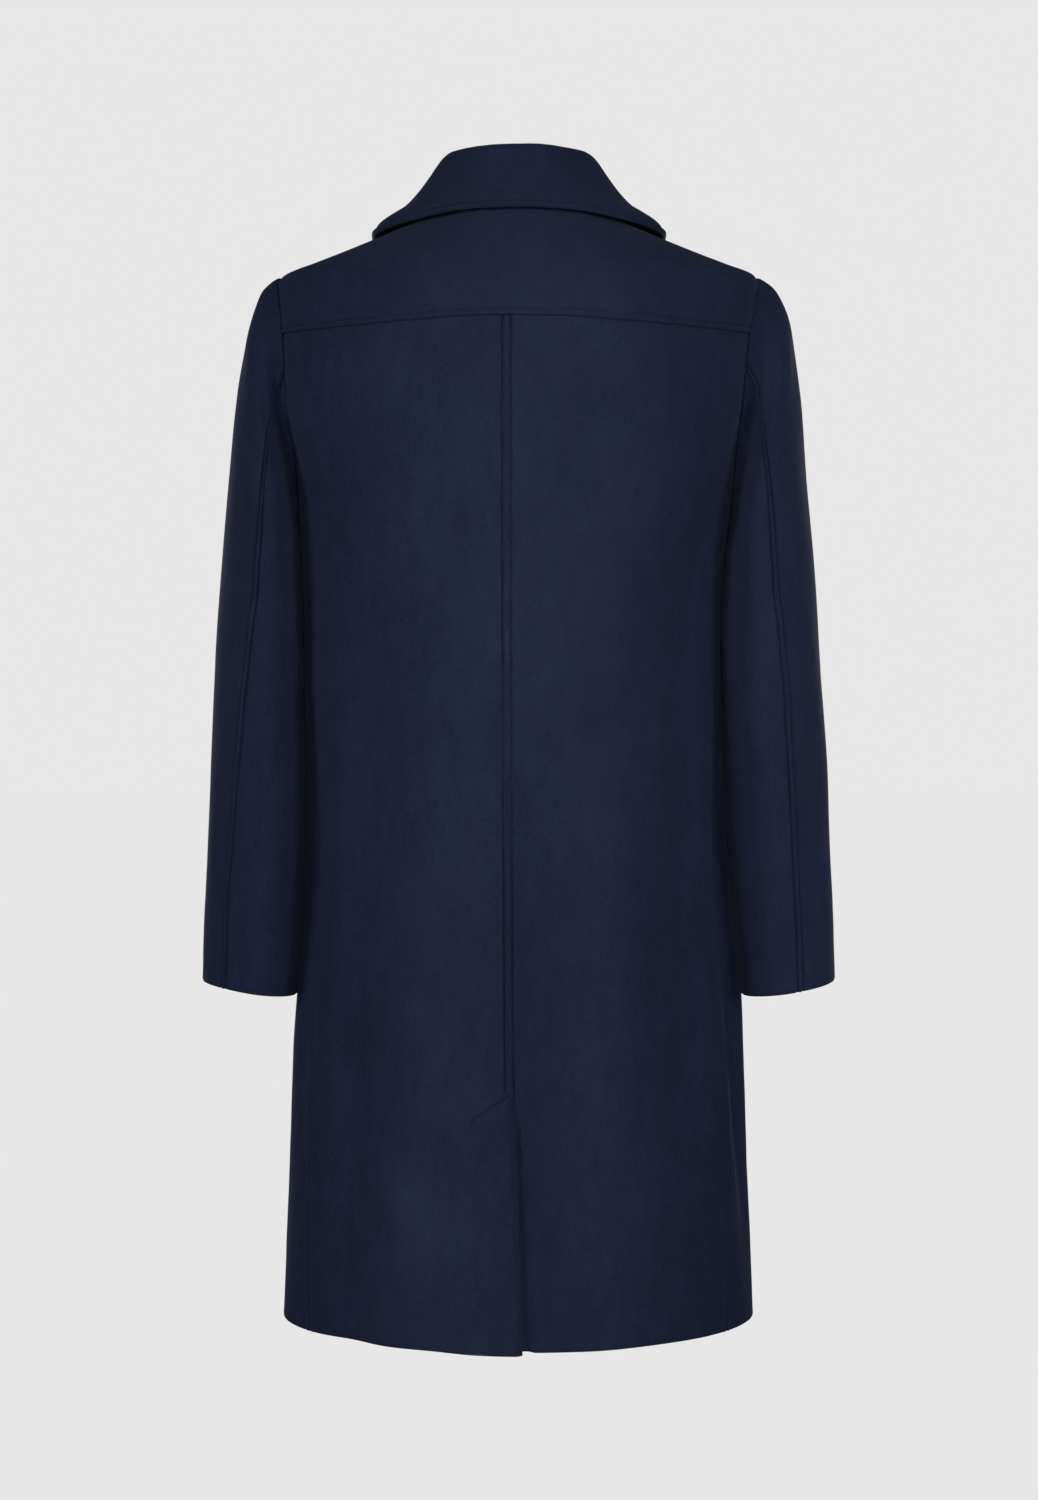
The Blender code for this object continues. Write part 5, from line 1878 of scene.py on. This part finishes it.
@dataclass
class Buttons:
    """The four front buttons, sewn down the centre line through the lapping fronts."""

    body: BodyForm
    finishes: Finishes
    radius: float = 0.0140
    thick: float = 0.0042
    lift: float = 0.0039
    holes: int = 4
    hole_radius: float = 0.0011
    hole_place: float = 0.0030
    hole_sides: int = 20
    sides: int = 72
    sharp_deg: float = 38.0
    strands: tuple[float, ...] = (-0.0005, 0.0, 0.0005)
    strand_up: float = 0.54
    strand_long: float = 2.5
    profile: tuple[Section, ...] = (
        Section(0.000, 0.500), Section(0.300, 0.505), Section(0.520, 0.530), Section(0.620, 0.590),
        Section(0.690, 0.760), Section(0.740, 0.900), Section(0.800, 0.975), Section(0.860, 1.000),
        Section(0.920, 0.975), Section(0.965, 0.890), Section(0.990, 0.760), Section(1.000, 0.600),
        Section(0.990, 0.430), Section(0.960, 0.270), Section(0.900, 0.120), Section(0.800, 0.030),
        Section(0.700, 0.000), Section(0.000, 0.000),
    )

    def blank(self) -> bpy.types.Mesh:
        """The turned and drilled button, standing on the plane of its own back."""
        turn = np.arange(self.sides) * 2 * math.pi / self.sides
        points, faces = [], []
        for part in self.profile:
            reach = part.out * self.radius
            count = self.sides if part.out else 1
            first = sum(len(block) for block in points)
            way = turn[:count]
            height = np.full(count, part.up * self.thick)
            points.append(np.stack([reach * np.cos(way), reach * np.sin(way), height], axis=1))
            if first == 0:
                continue
            last_count = len(points[-2])
            before = first - last_count
            for k in range(self.sides):
                step = (k + 1) % self.sides
                here = [before + k % last_count, first + k % count]
                there = [first + step % count, before + step % last_count]
                faces.append(list(dict.fromkeys(here + there)))
        drilled = mesh_object("button_blank", np.concatenate(points), faces, self.finishes.button)
        drills = []
        for number in range(self.holes):
            bpy.ops.mesh.primitive_cylinder_add(
                vertices=self.hole_sides, radius=self.hole_radius, depth=4 * self.thick
            )
            drill = bpy.context.object
            angle = math.radians((number + 0.5) * 360 / self.holes)
            drill.location = (self.hole_place * math.cos(angle), self.hole_place * math.sin(angle), 0.0)
            cut = drilled.modifiers.new(f"hole_{number}", "BOOLEAN")
            cut.object = drill
            drills.append(drill)
        graph = bpy.context.evaluated_depsgraph_get()
        mesh = bpy.data.meshes.new_from_object(drilled.evaluated_get(graph))
        for old in [drilled, *drills]:
            bpy.data.objects.remove(old)
        mesh.shade_smooth()
        mesh.set_sharp_from_angle(angle=math.radians(self.sharp_deg))
        return mesh

    def build(self) -> list[bpy.types.Object]:
        """Returns:
            The button objects.
        """
        mesh = self.blank()
        made = []
        for number, z in enumerate(BUTTON_HEIGHTS, start=1):
            normal = Vector(self.body.normals(math.pi, z))
            place = Vector(self.body.surface(math.pi, z)) + normal * self.lift
            pose = Matrix.Translation(place) @ normal.to_track_quat("Z", "Y").to_matrix().to_4x4()
            own = mesh.copy()
            own.transform(pose)
            button = bpy.data.objects.new(f"turned_button_{number}", own)
            bpy.context.scene.collection.objects.link(button)
            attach(button, BODY_NAME)
            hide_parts(f"button_{number}")
            self.sew_on(button, pose, number)
            made.append(button)
            LOG.info("%s: %d faces", button.name, len(own.polygons))
        return made

    def sew_on(self, button: bpy.types.Object, pose: Matrix, number: int) -> None:
        """Threads through the holes in two parallel bars.

        Args:
            button: The button that carries the thread.
            pose: Its place.
            number: Its number in the row.
        """
        thread = Stitching(self.finishes.thread)
        turn = np.array(pose.to_3x3())
        side = self.hole_place / math.sqrt(2)
        for row in (-1, 1):
            for strand in self.strands:
                spot = np.array([[0.0, row * side + strand, self.strand_up * self.thick]])
                centre = spot @ turn.T + np.array(pose.translation)
                long = self.strand_long * side
                thread.bars(centre, turn[None, :, 0], turn[None, :, 2], long, thread.radius)
        thread.build(f"thread_button_{number}", button, BUTTON_SLOT)


class SoftLight(NamedTuple):
    """A soft light with a grid: its place, power in watts, sides and the angle that it fans out to."""

    name: str
    place: Place
    power: float
    wide: float
    high: float
    fan_deg: float

    def aim(self, middle: Place) -> Vector:
        """The way that the light faces: straight ahead for a strip, or else towards the coat's middle."""
        if self.fan_deg < STRIP_FAN_DEG:
            return Vector((0.0, -self.place[1], 0.0))
        return Vector(middle) - Vector(self.place)


@dataclass
class Studio:
    """Pale floor, even surround, soft lights on the coat and the camera behind the wearer."""

    floor: FloorFinish = FloorFinish()
    floor_z: float = -1.48
    floor_radius: float = 60.0
    floor_sides: int = 128
    floor_wash: float = 2.53
    surround: float = 0.80
    ambient: float = 0.03
    camera_place: Place = (0.0, 2.4, -0.504)
    view_high: float = 1.410
    sensor: float = 36.0
    aim: Place = (0.0, 0.0, -0.50)
    lights: tuple[SoftLight, ...] = (
        SoftLight("key", (0.0, 2.30, 0.10), 26.0, 1.0, 1.0, 180.0),
        SoftLight("key_left", (1.75, 1.60, -0.30), 26.5, 0.8, 1.0, 180.0),
        SoftLight("key_right", (-1.75, 1.60, -0.30), 25.0, 0.8, 1.0, 180.0),
        SoftLight("upper_strip_left", (0.045, 2.30, -0.27), 0.092, 0.08, 0.58, 7.0),
        SoftLight("upper_strip_right", (-0.060, 2.30, -0.27), 0.098, 0.08, 0.58, 7.0),
        SoftLight("lower_strip_left", (0.072, 2.30, -0.82), 0.075, 0.05, 0.58, 4.5),
        SoftLight("lower_strip_right", (-0.075, 2.30, -0.82), 0.060, 0.05, 0.58, 4.5),
        SoftLight("sleeve_strip_left", (0.25, 2.30, -0.40), 0.028, 0.05, 0.8, 4.5),
        SoftLight("sleeve_strip_right", (-0.25, 2.30, -0.40), 0.085, 0.05, 0.8, 4.5),
        SoftLight("back_glow", (0.0, 0.75, -1.44), 1.0, 0.8, 0.4, 180.0),
        SoftLight("front", (0.0, -2.30, 0.10), 26.0, 1.0, 1.0, 180.0),
        SoftLight("front_left", (1.10, -2.10, -0.30), 20.0, 0.8, 1.0, 180.0),
        SoftLight("front_right", (-1.10, -2.10, -0.30), 18.0, 0.8, 1.0, 180.0),
        SoftLight("front_strip_left", (0.06, -2.30, -0.55), 0.120, 0.08, 0.9, 7.0),
        SoftLight("front_strip_right", (-0.06, -2.30, -0.55), 0.120, 0.08, 0.9, 7.0),
        SoftLight("front_glow", (0.0, -0.75, -1.44), 1.0, 0.8, 0.4, 180.0),
    )

    def soft_light(self, lamp: SoftLight, lit: bpy.types.Collection) -> None:
        """Hangs a soft light, turned to the coat and lighting nothing else.

        Args:
            lamp: The light.
            lit: The pieces that it lights.
        """
        light = bpy.data.lights.new(lamp.name, "AREA")
        light.energy = lamp.power
        light.shape = "RECTANGLE"
        light.size = lamp.wide
        light.size_y = lamp.high
        light.spread = math.radians(lamp.fan_deg)
        made = bpy.data.objects.new(lamp.name, light)
        made.location = lamp.place
        made.rotation_euler = lamp.aim(self.aim).to_track_quat("-Z", "Y").to_euler()
        made.visible_camera = False
        made.light_linking.receiver_collection = lit
        bpy.context.scene.collection.objects.link(made)

    def lay_floor(self) -> None:
        """Lays the floor with a light of its own, so that it is as pale as the surround."""
        turn = np.arange(self.floor_sides) * 2 * math.pi / self.floor_sides
        rim = np.stack([np.cos(turn), np.sin(turn)], axis=1) * self.floor_radius
        points = np.concatenate([rim, np.full((self.floor_sides, 1), self.floor_z)], axis=1)
        floor = mesh_object("studio_floor", points, [list(range(self.floor_sides))], self.floor.material())
        floor.visible_diffuse = False
        floor.visible_glossy = False
        floor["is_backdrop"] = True
        wash = bpy.data.lights.new("floor_wash", "SUN")
        wash.energy = self.floor_wash
        wash.use_shadow = False
        made = bpy.data.objects.new("floor_wash", wash)
        only = bpy.data.collections.new("lit_floor")
        only.objects.link(floor)
        made.light_linking.receiver_collection = only
        bpy.context.scene.collection.objects.link(made)

    def hang_surround(self) -> None:
        """Makes the surround pale to look at and dim as a light."""
        world = bpy.data.worlds.new("even_surround")
        world.use_nodes = True
        nodes, links = world.node_tree.nodes, world.node_tree.links
        seen, dim = nodes["Background"], nodes.new("ShaderNodeBackground")
        for shade, strength in ((seen, self.surround), (dim, self.ambient)):
            set_inputs(shade, {"Color": (1.0, 1.0, 1.0, 1.0), "Strength": strength})
        path = nodes.new("ShaderNodeLightPath")
        mix = nodes.new("ShaderNodeMixShader")
        links.new(path.outputs["Is Camera Ray"], mix.inputs[0])
        links.new(dim.outputs["Background"], mix.inputs[1])
        links.new(seen.outputs["Background"], mix.inputs[2])
        links.new(mix.outputs["Shader"], nodes["World Output"].inputs["Surface"])
        bpy.context.scene.world = world

    def build(self) -> None:
        """Sets up the floor, surround, lights and camera."""
        scene = bpy.context.scene
        coat = bpy.data.collections.new("lit_coat")
        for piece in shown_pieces():
            coat.objects.link(piece)
        self.lay_floor()
        self.hang_surround()
        for lamp in self.lights:
            self.soft_light(lamp, coat)
        view = bpy.data.cameras.new("photo_view")
        view.sensor_fit = "VERTICAL"
        view.sensor_height = self.sensor
        view.lens = self.sensor * self.camera_place[1] / self.view_high
        camera = bpy.data.objects.new("photo_view", view)
        camera.location = self.camera_place
        camera.rotation_euler = (math.pi / 2, 0.0, math.pi)
        scene.collection.objects.link(camera)
        scene.camera = camera
        scene.view_settings.view_transform = "Standard"


def main() -> None:
    """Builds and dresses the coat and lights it."""
    logging.basicConfig(level=logging.INFO, format="%(message)s")
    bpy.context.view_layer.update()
    body, finishes = BodyForm(), Finishes.made()
    pieces: list[ClothPiece] = [CollarPiece(body, finishes), YokePiece(body, finishes)]
    for side in Side:
        pieces += [BackPiece(body, finishes, side=side), FrontPiece(body, finishes, side=side)]
        pieces += [SleevePiece(body, finishes, side=side, part=part) for part in SleevePart]
    for piece in pieces:
        piece.build()
    Buttons(body, finishes).build()
    Studio().build()


if __name__ == "__main__":
    main()
